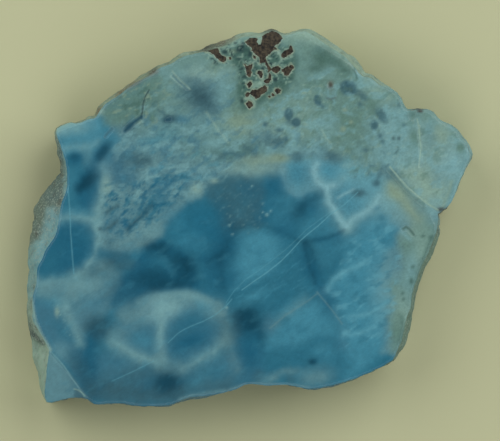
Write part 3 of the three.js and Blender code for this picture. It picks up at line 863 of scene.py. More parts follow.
CROWN: tuple[Mark, ...] = (
    Zone("dark stone between the inclusions", MOSS, ((222, 50), (240, 44), (262, 46), (290, 46), (298, 60),
        (294, 80), (284, 94), (266, 100), (254, 110), (242, 108), (239, 92), (240, 76), (236, 64)), 1.4,
        0.85, 0.6),
    Pool("moss stone left of the low pieces", MOSS, (241, 98), (1.2, 3.2), 0, 0.3),
    Pool("teal stone under the left band", MOSS, (216, 66), (1.2, 0.8), -10, 0.4),
    Pool("teal stone right of the crown piece", MOSS, (275, 58), (1.1, 0.6), 0, 0.7, 2.4, 0.3),
    Pool("shadow round the lowest piece", MOSS, (244, 108), (0.5, 0.8), 0, 0.5, 2.4, 0.3),
    Pool("beige band at the rim", TAN, (225, 44), (2.0, 0.5), 22, 0.75, 2.6, 0.3),
    Pool("beige knots", TAN, (233, 51), (0.7, 0.35), 0, 0.6, 2.4, 0.3),
    Vein("rust under the rim", RUST, ((202, 49), (212, 45), (222, 42), (232, 39)), 0.2, 0.7, 1.8, 0.2),
    Vein("pale crust at the rim", CREAM, ((234, 37), (242, 34), (252, 33), (262, 36)), 0.4, 0.75, 2.0, 0.3),
    Pool("pale knot beside the crown piece", CREAM, (259.4, 41.6), (0.35, 0.42), 0, 0.9, 2.6, 0.1),
    Vein("pale rind, left", CREAM, ((244, 61), (248, 63), (254, 62), (262, 66), (266, 72)), 0.16, 0.55, 1.8,
        0.3),
    Vein("pale rind under the crown piece", CREAM, ((254, 58), (260, 65), (266, 65), (270, 58)), 0.15, 0.5,
        1.8, 0.3),
    Vein("pale rind, low", CREAM, ((252, 84), (258, 86), (263, 80), (262, 76)), 0.28, 0.55, 1.8, 0.3),
    Vein("pale rind, lower", CREAM, ((254, 88), (256, 82), (262, 84)), 0.22, 0.5, 1.8, 0.3),
    Vein("pale rind, bottom", CREAM, ((245, 99), (251, 98), (255, 103), (254, 107)), 0.22, 0.7, 1.8, 0.3),
    Vein("pale rind, right", CREAM, ((272, 64), (279, 64), (284, 66), (290, 62)), 0.15, 0.5, 1.8, 0.3),
    Vein("pale rind, upper right", CREAM, ((274, 49), (279, 52), (281, 59), (287, 58), (292, 56)), 0.16,
        0.65, 1.8, 0.3),
    Pool("pale fleck under the crown", CREAM, (277, 52), (0.7, 0.35), -10, 0.6, 2.4, 0.2),
    Mottle("broken stone of the crown", INK, ((200, 48), (232, 38), (262, 40), (290, 46), (290, 80),
        (262, 92), (242, 90), (238, 66), (214, 66)), (0.8, 0.55), 20, 0.1, 0.72, 1.0, 71, 1.0, 0.3),
    Mottle("pale crumbs of the crown", CREAM, ((202, 50), (232, 38), (262, 40), (290, 46), (296, 80),
        (262, 96), (242, 96), (238, 66), (214, 70)), (0.8, 0.55), -10, 0.22, 0.62, 1.0, 72, 1.0, 0.25),
)

UPPER_RIGHT = (
    (262, 100), (292, 82), (330, 66), (360, 76), (404, 100), (440, 112), (466, 146), (446, 200), (424, 206),
    (396, 172), (360, 178), (330, 158), (296, 156), (262, 140))
UPPER_LEFT = (
    (120, 128), (160, 84), (190, 62), (236, 72), (242, 116), (300, 128), (298, 156), (236, 172), (206, 184),
    (176, 200), (150, 206), (116, 190), (112, 150))

FLECKS: tuple[Mark, ...] = (
    Mottle("light patches, right", WHITE, UPPER_RIGHT, (2.8, 1.8), 25, 0.06, 0.55, 2.0, 81, 1.0, 0.3),
    Mottle("dull patches, right", OLIVE, UPPER_RIGHT, (2.4, 1.5), 35, 0.18, 0.5, 2.0, 82, 1.0, 0.3),
    Mottle("light patches, left", WHITE, UPPER_LEFT, (3.0, 1.5), 22, 0.06, 0.55, 2.0, 83, 1.0, 0.3),
    Mottle("dull patches, left", STEEL, UPPER_LEFT, (2.6, 1.3), 30, 0.18, 0.5, 2.0, 84, 1.0, 0.3),
    Mottle("cream crumbs", CREAM, UPPER_RIGHT, (0.9, 0.7), 10, 0.28, 0.3, 2.0, 85, 1.0, 0.3),
    Mottle("slate crumbs", SLATE, UPPER_LEFT, (0.9, 0.6), 35, 0.32, 0.3, 2.0, 88, 1.0, 0.3),
)

CLEAR: tuple[Mark, ...] = (
    Pool("green breath at the top, left", CREAM, (204, 70), (4.6, 2.2), 10, 0.38),
    Pool("green stone at the upper rim", SEA, (192, 58), (5.0, 1.5), 18, 0.6, 2.4, 0.5),
    Mottle("dark patches of the slope", MOSS, ((104, 112), (126, 90), (150, 78), (172, 78), (172, 100),
        (150, 112), (120, 118)), (2.0, 1.2), 25, 0.05, 0.6, 1.6, 47, 1.0, 0.4),
    Mottle("yellow patches of the slope", TAN, ((104, 112), (126, 90), (150, 78), (172, 78), (176, 100),
        (160, 124), (120, 122)), (1.6, 1.1), 25, 0.16, 0.5, 1.6, 48, 1.0, 0.4),
    Pool("yellow-green stone under the lowest piece", TAN, (240, 120), (2.2, 1.7), 10, 0.45),
    Pool("steel heart of the slate cloud", STEEL, (123, 171), (1.9, 2.4), 12, 0.75, 2.6, 0.7),
    Pool("slate wing of the cloud", SLATE, (140, 160), (3.0, 1.2), 8, 0.55, 2.4, 0.7),
    Pool("green breath left of the double line", SEA, (166, 88), (2.4, 2.6), 0, 0.35),
    Pool("green breath under the cloud", SEA, (178, 106), (3.0, 2.0), 0, 0.35),
    Pool("pale tip of the corner again", WHITE, (72, 129), (3.2, 1.2), 8, 0.5),
    Pool("grey cloud's core", SLATE, (199, 95), (3.1, 2.2), -35, 0.85, 2.4, 0.8),
    Pool("dark heart of the grey cloud", INK, (202, 97), (1.6, 1.0), -35, 0.26),
    Pool("grey cloud's foot", SLATE, (211, 108), (1.3, 1.0), -30, 0.6, 2.6, 0.8),
    Pool("light stone right of the cloud", WHITE, (223, 92), (1.2, 2.4), 0, 0.5),
    Vein("pale thread over the cloud", CREAM, ((206, 113), (213, 122), (219, 131), (228, 142)), 0.13, 0.45,
        1.6, 0.8),
    Pool("pale patch by the thread", WHITE, (213, 144), (1.4, 0.6), 0, 0.65, 2.6, 0.6),
    Vein("slate arc", SLATE, ((218, 158), (230, 152), (245, 156)), 0.3, 0.55, 1.8, 0.5),
    Vein("slate arc over it", SLATE, ((244, 147), (250, 150), (256, 155)), 0.3, 0.5, 1.8, 0.5),
    Pool("slate wisp, left", SLATE, (142, 161), (1.4, 0.6), 0, 0.45, 2.6, 0.6),
    Pool("olive spot", OLIVE, (152.5, 118.5), (0.42, 0.6), 0, 0.85, 3.0, 0.3),
    Pool("end of the slot", NAVY, (129, 127), (0.95, 0.6), 38, 0.8, 2.8, 0.2),
    Pool("deep heart of the streak", NAVY, (103, 152), (1.8, 0.75), 55, 0.8, 2.8, 0.3),
    Pool("deep heart of the first spot", NAVY, (74, 158), (0.8, 0.7), 0, 0.4, 2.6, 0.3),
    Mottle("dark inky streaks over the flecks", DEEP, ((106, 190), (130, 184), (150, 176), (176, 172),
        (190, 184), (166, 212), (146, 232), (126, 238), (104, 230)), (1.7, 0.9), 42, 0.14, 0.6, 1.6, 46, 1.0,
        0.35),
    Vein("inky streak 1", SLATE, ((100, 229), (109, 228), (117, 221)), 0.3, 0.85, 1.8, 0.3),
    Vein("inky streak 2", NAVY, ((128, 230), (134, 223), (141, 217), (147, 211)), 0.34, 0.7, 1.8, 0.4),
    Vein("inky streak 3", DEEP, ((160, 192), (167, 186), (174, 180)), 0.5, 0.7, 1.8, 0.4),
    Vein("inky streak 4", SLATE, ((107, 213), (112, 209), (118, 206)), 0.28, 0.8, 1.8, 0.3),
    Pool("inky spot", NAVY, (151, 206), (0.6, 0.5), 30, 0.6, 2.2, 0.4),
    Pool("cream band over the cells", TAN, (262, 160), (3.8, 0.8), 3, 0.6, 2.6, 0.6),
    Pool("navy heart of the lower pool", NAVY, (167, 384), (1.8, 1.3), 15, 0.6, 2.8, 0.6),
    Pool("navy heart of the eye", NAVY, (246, 320), (1.9, 1.9), 0, 0.45, 3.0, 0.6),
    Pool("dark spot at the foot", NAVY, (312.5, 361.5), (0.75, 0.5), 0, 0.85, 2.8, 0.2),
    Vein("pale rim of the corner", CREAM, ((56, 131), (62, 124), (78, 121), (92, 116), (101, 111)), 0.4,
        0.6),
    Vein("rust along the upper left rim", RUST, ((128, 86), (136, 82), (143, 77), (150, 74), (157, 71)),
        0.28, 0.55),
    Vein("white web round the pockets", WHITE, ((283, 126), (290, 130), (296, 134), (293, 140), (287, 146)),
        0.28, 0.75, 1.8, 0.3),
    Pool("teal pocket over the V", SLATE, (332, 156), (1.5, 0.85), -20, 0.7, 2.8, 0.5),
    Pool("teal pocket left of it", SLATE, (297, 157), (1.0, 0.9), 0, 0.6, 2.8, 0.5),
    Pool("brown in the patch", MOSS, (281, 158), (0.5, 0.4), 0, 0.55, 2.4, 0.3),
    Pool("yellow-brown patch", TAN, (278, 158), (1.4, 0.65), 0, 0.6, 2.6, 0.4),
    Pool("blue middle of the navy pool", BLUE, (156, 262), (1.7, 1.1), 0, 0.3),
    Pool("deep floor of the navy pool", DEEP, (158, 280), (4.4, 1.0), 0, 0.3, 3.0, 0.5),
    Pool("navy floor of the navy pool", NAVY, (154, 281), (4.0, 1.0), 0, 0.5, 2.8, 0.5),
    Vein("navy wall of the pool", NAVY, ((150, 243), (160, 250), (172, 257), (184, 264), (184, 280)), 0.9,
        0.4),
    Vein("seam to the middle", NAVY, ((210, 261), (219, 257), (225, 249), (227, 240)), 0.6, 0.4),
    Vein("seam under the middle", NAVY, ((222, 258), (221, 272), (223, 288)), 0.8, 0.32),
    Vein("seam over the middle cell", NAVY, ((236, 229), (252, 225), (270, 227), (286, 234), (302, 243)),
        0.35, 0.25, 1.8, 0.6),
    Vein("heart of the seam to the V", NAVY, ((304, 243), (316, 240), (329, 237), (338, 234), (345, 229)),
        0.3, 0.38, 1.8, 0.4),
    Vein("dark edge of the pool", NAVY, ((296, 214), (302, 206), (311, 199), (322, 193)), 0.9, 0.42, 1.8,
        0.6),
    Vein("heart of the dark seam", NAVY, ((304, 244), (307, 256), (311, 269), (315, 283)), 0.32, 0.42, 1.8,
        0.4),
    Vein("web of the V, left arm", FROST, ((327, 190), (330, 203), (337, 215), (346, 226)), 0.42, 0.75, 1.8,
        0.6),
    Vein("web of the V, right arm", FROST, ((347, 226), (355, 217), (366, 211), (375, 205), (379, 197)),
        0.42, 0.6, 1.8, 0.6),
    Vein("web over the V again", FROST, ((317, 164), (314, 173), (317, 182), (325, 187), (334, 186)), 0.45,
        0.7, 1.8, 0.6),
)

SPOTS: tuple[Mark, ...] = (
    spots("ink spot of the crown", INK, 0.85, (224.8, 52.2, 0.5, 0.32), (242, 46, 0.5, 0.36),
        (240.6, 50.4, 0.9, 0.34), (249.6, 54, 0.42, 0.5), (246, 50, 0.5, 0.3), (238, 59, 0.4, 0.3),
        (263, 68, 0.3, 0.35), (256, 68, 0.35, 0.25), (276, 80, 0.3, 0.3), (242, 101, 0.25, 0.4))
    + spots("moss pocket of the crown", MOSS, 0.7, (257, 67, 0.45, 0.4), (266, 76, 0.35, 0.6),
        (236, 62, 0.9, 0.6), (288, 62, 0.9, 0.4), (246, 52, 0.5, 0.6), (272, 100, 0.5, 0.35),
        (280, 84, 0.8, 0.4), (240, 90, 0.4, 0.9))
    + spots("dark dot, right", MOSS, 0.75, (412.5, 267, 0.28, 0.3), (411, 281, 0.32, 0.55),
        (402.5, 293, 0.25, 0.28), (403.5, 299, 0.25, 0.28), (423, 236, 0.32, 0.25), (431, 238, 0.35, 0.35))
    + spots("slate spot, upper right", SLATE, 0.85, (265.5, 124.5, 0.45, 0.42), (286, 139, 0.35, 0.5),
        (279, 130, 0.5, 0.36))
    + spots("faint slate spot, upper right", SLATE, 0.6, (268, 137, 0.7, 0.85), (277, 142, 1.2, 0.95),
        (366, 150, 0.4, 0.3), (399, 105, 0.35, 0.4), (404, 125, 0.3, 0.3), (360, 104, 0.4, 0.5))
    + spots("yellow speck", TAN, 0.75, (345, 110, 0.42, 0.3), (343, 129, 0.4, 0.4), (351, 122, 0.3, 0.3),
        (304, 93, 0.4, 0.22))
    + spots("white speck in the blue", WHITE, 0.7, (267, 214.5, 0.27, 0.27), (263, 212, 0.16, 0.16),
        (271, 211, 0.17, 0.17), (262, 203.5, 0.14, 0.14), (252, 186, 0.18, 0.18), (229.5, 225, 0.2, 0.18),
        (232.5, 234.5, 0.16, 0.16), (226.5, 307.5, 0.25, 0.22))
    + spots("umber spot", UMBER, 0.85, (330.5, 85, 0.34, 0.52), (420, 110.5, 0.45, 0.28),
        (441, 209.5, 0.7, 0.4))
    + spots("slate spot in the V", SLATE, 0.9, (359, 193, 1.15, 0.62))
    + spots("ink twin", INK, 0.62, (393.5, 138, 0.3, 0.28), (399, 138, 0.28, 0.3))
)

GLAZES: tuple[Mark, ...] = (
    spots("olive glaze", OLIVE, 0.25, (228, 88, 2.8, 5.0), (176, 100, 2.6, 4.0))
    + spots("slate glaze", SLATE, 0.42, (124, 291, 2.8, 2.2), (92, 272, 2.2, 1.0), (228, 332, 1.9, 3.2))
    + spots("thin slate glaze", SLATE, 0.28, (130, 152, 3.0, 1.2), (136, 372, 2.0, 1.2),
        (128, 132, 3.0, 1.4), (230, 388, 3.0, 1.0), (206, 52, 3.0, 1.0))
    + spots("deep glaze", DEEP, 0.35, (112, 254, 3.8, 1.1), (221, 232, 1.8, 3.6), (250, 348, 2.2, 3.0),
        (172, 350, 1.4, 1.6))
    + spots("navy glaze", NAVY, 0.2, (222, 212, 1.8, 1.8), (222, 250, 2.2, 2.8), (242, 230, 2.0, 1.4),
        (160, 250, 2.4, 1.4), (132, 290, 3.2, 1.6), (100, 340, 2.0, 2.8), (186, 374, 6.4, 1.7))
    + spots("steel glaze", STEEL, 0.3, (160, 190, 2.2, 1.6), (110, 160, 1.6, 2.4))
    + spots("azure glaze", AZURE, 0.22, (160, 204, 2.0, 2.4), (338, 192, 2.2, 2.0), (304, 172, 2.0, 1.8))
    + spots("frost glaze", FROST, 0.28, (160, 310, 2.4, 1.6))
    + spots("blue glaze", DEEP, 0.25, (190, 332, 3.4, 2.2), (181, 358, 2.2, 2.6), (240, 390, 2.6, 2.0),
        (130, 290, 3.2, 1.6), (240, 352, 2.0, 1.6), (226, 242, 2.4, 2.2))
    + spots("blue room", BLUE, 0.32, (341, 204, 2.4, 2.8), (293, 178, 2.0, 1.9), (306, 176, 1.6, 1.6),
        (355, 207, 1.8, 1.6))
    + spots("bright glaze", BRIGHT, 0.45, (262, 270, 2.2, 1.3), (331, 331, 2.2, 1.6))
    + spots("cream glaze", CREAM, 0.45, (401, 311, 1.5, 3.0), (420, 244, 1.8, 3.0))
    + spots("thin cream glaze", CREAM, 0.2, (284, 126, 5.4, 2.2), (384, 116, 2.6, 3.6), (302, 106, 2.6, 1.8))
    + spots("white glaze", WHITE, 0.35, (156, 312, 2.6, 1.6), (60, 352, 1.4, 1.6), (432, 156, 1.8, 1.6),
        (384, 292, 2.2, 5.0))
) + (
    Pool("greener stone under the grey cloud", OLIVE, (204, 132), (6.4, 2.6), 0, 0.28, 2.6),
    Pool("greener stone over the cloud", OLIVE, (236, 152), (8.0, 1.9), 0, 0.42, 2.6),
    Pool("greener lobe", TAN, (434, 152), (5.2, 7.4), -10, 0.42, 3.0),
    Pool("darker stone beside the facet", DEEP, (88, 374), (1.6, 3.6), 0, 0.65),
    Pool("darker stone at the facet's crack", SLATE, (76, 362), (1.4, 2.0), 40, 0.45),
    Vein("darker lower rim", SLATE, ((92, 394), (130, 396), (165, 396), (195, 390), (225, 386)), 1.5, 0.5,
        2.0),
    Pool("azure cell", AZURE, (196, 226), (4.8, 3.4), 25, 0.4, 3.0),
    Pool("azure stone by the pool", BRIGHT, (318, 196), (2.2, 2.2), 0, 0.35),
    Pool("cream stone over the cells", CREAM, (252, 170), (3.8, 1.1), 0, 0.4),
    Pool("white stone at the right", WHITE, (392, 216), (2.8, 1.8), 0, 0.35),
    Pool("bright crust, upper right", CREAM, (374, 88), (3.0, 1.1), -38, 0.5),
    Pool("deep stone over the navy's tail", DEEP, (130, 286), (3.0, 2.6), 20, 0.5),
    Pool("steel left of the cloud", STEEL, (110, 160), (2.2, 2.6), 10, 0.4),
    Pool("dull stone under the cell", SLATE, (112, 382), (6.0, 1.9), 4, 0.4),
    Vein("ink along the lower rim", INK, ((82, 366), (92, 390), (130, 393), (180, 391)), 1.6, 0.2, 2.0),
    Pool("white stone at the fracture", WHITE, (384, 168), (2.2, 1.4), -30, 0.3),
)

MARKS: tuple[Mark, ...] = (
    ZONES + LEFT + CLOUDED + BLUE_CELLS + WEBS + GLAZES + FLECKS + RIGHT + CLEAR + CROWN + FINE + SPOTS
    + HAIRLINES)

INCLUSIONS: tuple[Inclusion, ...] = (
    Inclusion("crown piece", ((245.4, 41.5), (250.5, 37.7), (254.7, 37.3), (257.3, 38.6), (257.2, 42.5),
        (258.6, 44.8), (260.8, 44.4), (262, 41.5), (262.4, 36.3), (265.9, 33.1), (271.5, 30.7),
        (277.1, 32.1), (280.8, 35.4), (283.2, 38.7), (280.8, 41), (279, 43.8), (274.3, 45.7), (272.9, 50.8),
        (268.7, 55), (265.9, 57.3), (264.4, 62.4), (260, 63), (259.4, 57), (254.7, 54.1), (251.9, 50.8),
        (251, 47), (247.2, 45.2))),
    Inclusion("left band", ((202.9, 50.3), (207, 48), (212.7, 47), (218.3, 48), (219.2, 51.7), (221, 54.5),
        (225.7, 57.3), (226.7, 59.7), (223.9, 62.5), (220.1, 61), (216.4, 58.3), (213.6, 54.5),
        (209.9, 52.2), (206, 51.7))),
    Inclusion("dot beside the left band", ((229, 57), (230.9, 57), (231.2, 59.6), (229.4, 59.8))),
    Inclusion("chip under the crown piece", ((253.4, 55), (256, 56.4), (256.6, 59), (254, 59.2), (253, 57))),
    Inclusion("crumb right of the crown piece", ((272.4, 47.4), (275, 47), (277.4, 49.6), (274.6, 49.7))),
    Inclusion("upper right piece", ((290.6, 45.2), (292.5, 48), (293.4, 51.7), (291, 54), (286.4, 56),
        (284, 58.3), (281.3, 57), (281.3, 53.6), (283.6, 51.3), (287.4, 49.9), (289.2, 48))),
    Inclusion("lower right piece", ((291, 63.9), (293.4, 65.3), (293.4, 68.5), (291, 71.3), (288.8, 75),
        (286.9, 76.5), (284, 75.5), (283.6, 72.7), (281.8, 71.8), (281.8, 69.5), (285.5, 67.6),
        (288.8, 66.2))),
    Inclusion("oval piece", ((271, 68.5), (273.4, 67.1), (278, 66.2), (280.8, 68), (279.9, 71.3),
        (277, 73.2), (273.4, 72.3), (271.5, 70.9))),
    Inclusion("link", ((264, 57), (266, 58), (266.5, 61), (268.5, 65), (271, 67.5), (271, 70.5), (269.5, 72),
        (271.3, 75), (271.3, 79), (269.5, 82.5), (266.5, 84), (263.6, 82), (264.5, 80), (268, 78.5),
        (268.8, 75), (268, 72), (268, 69.5), (266.5, 66.5), (265, 62.5))),
    Inclusion("tooth", ((243.5, 63.4), (247.2, 65.8), (252.4, 63.9), (253.3, 65.8), (251.4, 69.5),
        (251.4, 73.2), (250.5, 76.5), (248.2, 77), (246.8, 74.6), (246.3, 70.4), (244.9, 66.7))),
    Inclusion("inner tooth", ((256.6, 73.2), (258, 70.9), (261.7, 70.4), (262.6, 73.7), (262.6, 77),
        (261.2, 79.3), (259.8, 77.9), (258.9, 75))),
    Inclusion("knot", ((246.3, 84.4), (248.6, 82.1), (251.4, 81.2), (251.9, 84), (250.5, 86.8),
        (248.6, 87.7))),
    Inclusion("slanted piece", ((245.4, 94.7), (247.2, 91.9), (249.6, 92.8), (251.9, 89.6), (257.5, 89.6),
        (261.2, 87.2), (264.5, 84.9), (267.3, 87.2), (267.3, 90.5), (264, 93.3), (261.2, 94.7),
        (258.4, 98.4), (256, 99.4), (253.8, 96.1), (250, 94.2), (248.6, 96.6), (245.8, 97.5))),
    Inclusion("lowest piece", ((245.4, 103.1), (248.6, 100.8), (251.9, 102.2), (253.3, 105.9), (251, 107.8),
        (249.6, 109.2), (247.2, 106.8))),
    Inclusion("small piece 1", ((274.5, 91), (275.5, 88.5), (279, 88.3), (281, 90), (279.5, 93.5),
        (277, 94))),
    Inclusion("small piece 2", ((271, 94), (273, 93), (275.6, 95.4), (272.5, 96.6))),
    Inclusion("small piece 3", ((267.7, 96.5), (269.5, 95.4), (271, 96.5), (269.5, 98))),
)

# The skin on the side, by the photograph where the side shows and by guess elsewhere

SKIN: tuple[Mark, ...] = (
    Zone("broken lower edge", BREAK, ((66, 340), (66, 430), (250, 450), (400, 430), (372, 320), (300, 340),
        (240, 340), (160, 350)), 9.0, 0.85),
    Zone("skin of the right flank", OLIVE, ((405, 222), (470, 222), (450, 320), (410, 400), (350, 400),
        (350, 340), (396, 300)), 6.0, 0.8),
    # partly pale crust, partly painted light: the lobe's wall is painted near white against the shade it
    # gets from its steep angle
    Zone("skin of the lobe", WHITE, ((370, 60), (440, 90), (490, 140), (480, 200), (440, 226), (430, 190)),
        3.0, 0.95),
    # partly pale crust, partly painted light: made lighter than the crust to make up for the shade on the
    # steep side
    Zone("pale crust of the crown", CREAM, ((228, 20), (228, 44), (262, 44), (292, 44), (330, 60), (380, 90),
        (420, 70), (300, -10), (232, 10)), 3.0, 0.8),
    Zone("dull head of the left flank", SLATE, ((40, 196), (58, 160), (62, 200), (50, 206)), 1.2, 0.35),
    Zone("speckled crust of the left flank", WHITE, ((24, 250), (38, 240), (42, 226), (46, 208), (60, 208),
        (58, 236), (44, 262), (40, 300), (24, 300)), 1.2, 0.85),
    Vein("bright crust at the rim, left", ICE, ((58, 218), (56, 230), (53, 240), (46, 248), (42, 258),
        (36, 268)), 0.6, 0.5),
    Zone("pale foot of the left flank", CREAM, ((20, 336), (50, 342), (54, 410), (30, 410)), 1.4, 0.85),
    Vein("brown crease", UMBER, ((58, 146), (60, 160), (61.5, 180), (60, 200), (55, 212)), 0.16, 0.7),
    Vein("pale strip beside the crease", WHITE, ((58, 132), (61, 146), (65, 160), (66, 176), (66, 196)), 0.4,
        0.85),
    Vein("dark line in the strip", SLATE, ((60, 148), (64, 166), (65, 176)), 0.12, 0.6),
    # painted shade: ink-dark colour on the undercut wall under the notch, where shadow falls
    Vein("dark notch", INK, ((31, 333), (36, 338), (43, 343)), 0.4, 0.9, 1.8),
    Vein("bright break over the notch", CREAM, ((26, 300), (32, 318), (36, 328), (42, 337)), 0.5, 0.6),
    Zone("pale rim of the upper left edge", TAN, ((50, 136), (52, 118), (90, 100), (140, 60), (190, 40),
        (204, 52), (180, 66), (140, 90), (104, 118), (60, 132)), 1.6, 0.8),
    Pool("rust knot 1", RUST, (99, 112), (0.6, 0.7), 0, 0.9),
    Pool("rust knot 2", RUST, (121, 92), (1.3, 0.5), 35, 0.75),
    Pool("rust knot 3", RUST, (134, 83), (1.0, 0.5), 25, 0.6),
    Pool("rust knot 4", UMBER, (153, 73), (1.0, 0.7), 35, 0.9),
    Pool("rust at the left band", UMBER, (206, 47), (1.2, 0.5), 20, 0.8),
    Pool("rust under the rim 1", RUST, (221, 41), (1.0, 0.4), 20, 0.7),
    Pool("rust under the rim 2", RUST, (232, 37), (0.6, 0.35), 20, 0.6),
    Pool("umber under the crown piece", UMBER, (272, 28), (1.5, 1.0), 0, 0.85),
    Pool("dark notch of the lobe", UMBER, (442, 210), (1.4, 0.8), 20, 0.9),
    Pool("rust on the lobe", UMBER, (420, 109), (0.9, 0.6), 0, 0.85),
)

# The low places of the polished face

RELIEF: tuple[Relief, ...] = (
    Dent("groove under the fracture", ((389, 170), (397, 178), (406, 188), (415, 197), (424, 205)), 0.26,
        0.10),
    Dent("crack in the lobe", ((419, 127), (420, 140), (421, 156), (420, 166)), 0.18, 0.12),
    Dent("slot", ((148, 92), (143, 104), (141, 118)), 0.22, 0.06),
    Dent("slot's foot", ((140, 118), (132, 124), (125, 131)), 0.38, 0.08),
    Dent("short slot", ((112, 129), (106, 136)), 0.25, 0.10),
    Dent("double line", ((172, 75), (180, 81), (187, 88)), 0.25, 0.12),
    Dent("dark spot's pit", ((167, 120), (170, 119)), 0.25, 0.08),
    Dent("rust pit", ((330, 84), (330.5, 87)), 0.25, 0.15),
    Dent("notch pit", ((412, 114), (412.5, 117)), 0.35, 0.18),
    Dent("check mark", ((403, 229), (408, 228), (413, 234)), 0.25, 0.12),
    Chip("facet at the lower left corner", (44, 346), (88, 396), 0.10, 0.05),
    Chip("left bevel", (30, 300), (50, 350), 0.2),
    Chip("crown bevel", (352, 66), (306, 38), 0.16),
    Chip("rough crown, left", (262, 40), (200, 56), 0.15),
    Chip("chip over the left corner", (98, 118), (54, 134), 0.12),
    Chip("lobe's foot", (430, 212), (452, 198), 0.16),
    Chip("right bevel", (414, 300), (436, 236), 0.2),
)


@dataclass(frozen=True)
class Painting:
    """Marks laid over a ground, one over another, as a painter would."""

    name: str
    ground: Mineral
    marks: tuple[Mark, ...]

    DRIFT_SEEDS = (11, 12)
    DRIFT = ((4.0, 0.28), (1.1, 0.22))  # size of the swells that carry the marks' edges, and how far, in mm
    RIPPLE_SEED = 13
    RIPPLE = 0.22  # share by which the marks' strength comes and goes
    RIPPLE_SIZE = 2.2  # millimetres
    RIPPLE_OCTAVES = 3

    def minerals(self) -> list[Mineral]:
        """Lists the minerals that the painting uses."""
        used = {self.ground} | {mark.mineral for mark in self.marks}
        return [mineral for mineral in Mineral if mineral in used]

    def attribute(self, mineral: Mineral) -> str:
        """Names the mesh attribute that holds a mineral's share."""
        return f"{self.name}_{mineral.name.lower()}"

    def shares(self, points: Points) -> dict[Mineral, Values]:
        """Works out what the stone is made of at each place.

        Args:
            points: Places in millimetres.

        Returns:
            For each mineral, its share at each place. The shares of one place add up to 1.
        """
        shares = {mineral: np.zeros(len(points)) for mineral in self.minerals()}
        shares[self.ground] += 1
        drift = self._drift(points)
        ripple = self.RIPPLE * SeededNoise(self.RIPPLE_SEED)(points, self.RIPPLE_SIZE, self.RIPPLE_OCTAVES)
        for mark in self.marks:
            carried = points[:, :2] + mark.loose * drift
            cover = np.clip(mark.cover(carried) * (1 + mark.loose * ripple), 0, 1)
            for share in shares.values():
                share *= 1 - cover
            shares[mark.mineral] += cover
        return shares

    def _drift(self, points: Points) -> Points:
        """Works out how far the stone's swells carry each place, so that no mark keeps a drawn edge.

        Args:
            points: Places in millimetres.

        Returns:
            How far each place is carried along X and along Y, in millimetres.
        """
        drift = np.zeros((len(points), 2))
        for size, reach in self.DRIFT:
            for axis, seed in enumerate(self.DRIFT_SEEDS):
                drift[:, axis] += reach * SeededNoise(seed)(points, size)
        return drift


CUT_STONE = Painting("cut", Mineral.BLUE, MARKS)
NATURAL_SKIN = Painting("skin", Mineral.CRUST, SKIN)
INCLUSION_GAP = "inclusion_gap"
CRUMBLED = "crumbled"  # where the pale, cloudy stone is, which shows more grain than the clear blue
UNPOLISHED = "unpolished"
WORN_DEPTHS = (0.004, 0.03)  # millimetres under the face's level where the polish starts to go and is gone


def gap_to_inclusions(points: Points) -> Values:
    """Measures how far each place is from the nearest inclusion, and less than 0 inside one."""
    return np.min([inclusion.gap(points) for inclusion in INCLUSIONS], axis=0)


def unpolished(points: Points) -> Values:
    """Tells how much of the polish is missing at each place: the rim and the low places are dull."""
    worn = smoothstep(*WORN_DEPTHS, THICKNESS - points[:, 2])
    return np.maximum(worn, np.max([part.bare(points) for part in RELIEF], axis=0))


# The stone


class Surface(Enum):
    """The three surfaces of the slab, in the order of the mesh's materials."""

    FACE = 0
    SIDE = 1
    BACK = 2


def in_millimetres(vertices: list[bmesh.types.BMVert]) -> Points:
    """Lists the places of some vertices in millimetres."""
    return np.array([vertex.co for vertex in vertices]).reshape(-1, 3) / MM


@dataclass(frozen=True)
class Ruggedness:
    """Noise that moves the stone's surface or breaks it up."""

    height: float  # millimetres
    size: float  # how far apart its swells are, in millimetres
    octaves: int
    seed: int

    def lift(self, points: Points) -> Values:
        """Gives how far each place is moved, in millimetres."""
        return self.height * SeededNoise(self.seed)(points, self.size, self.octaves)


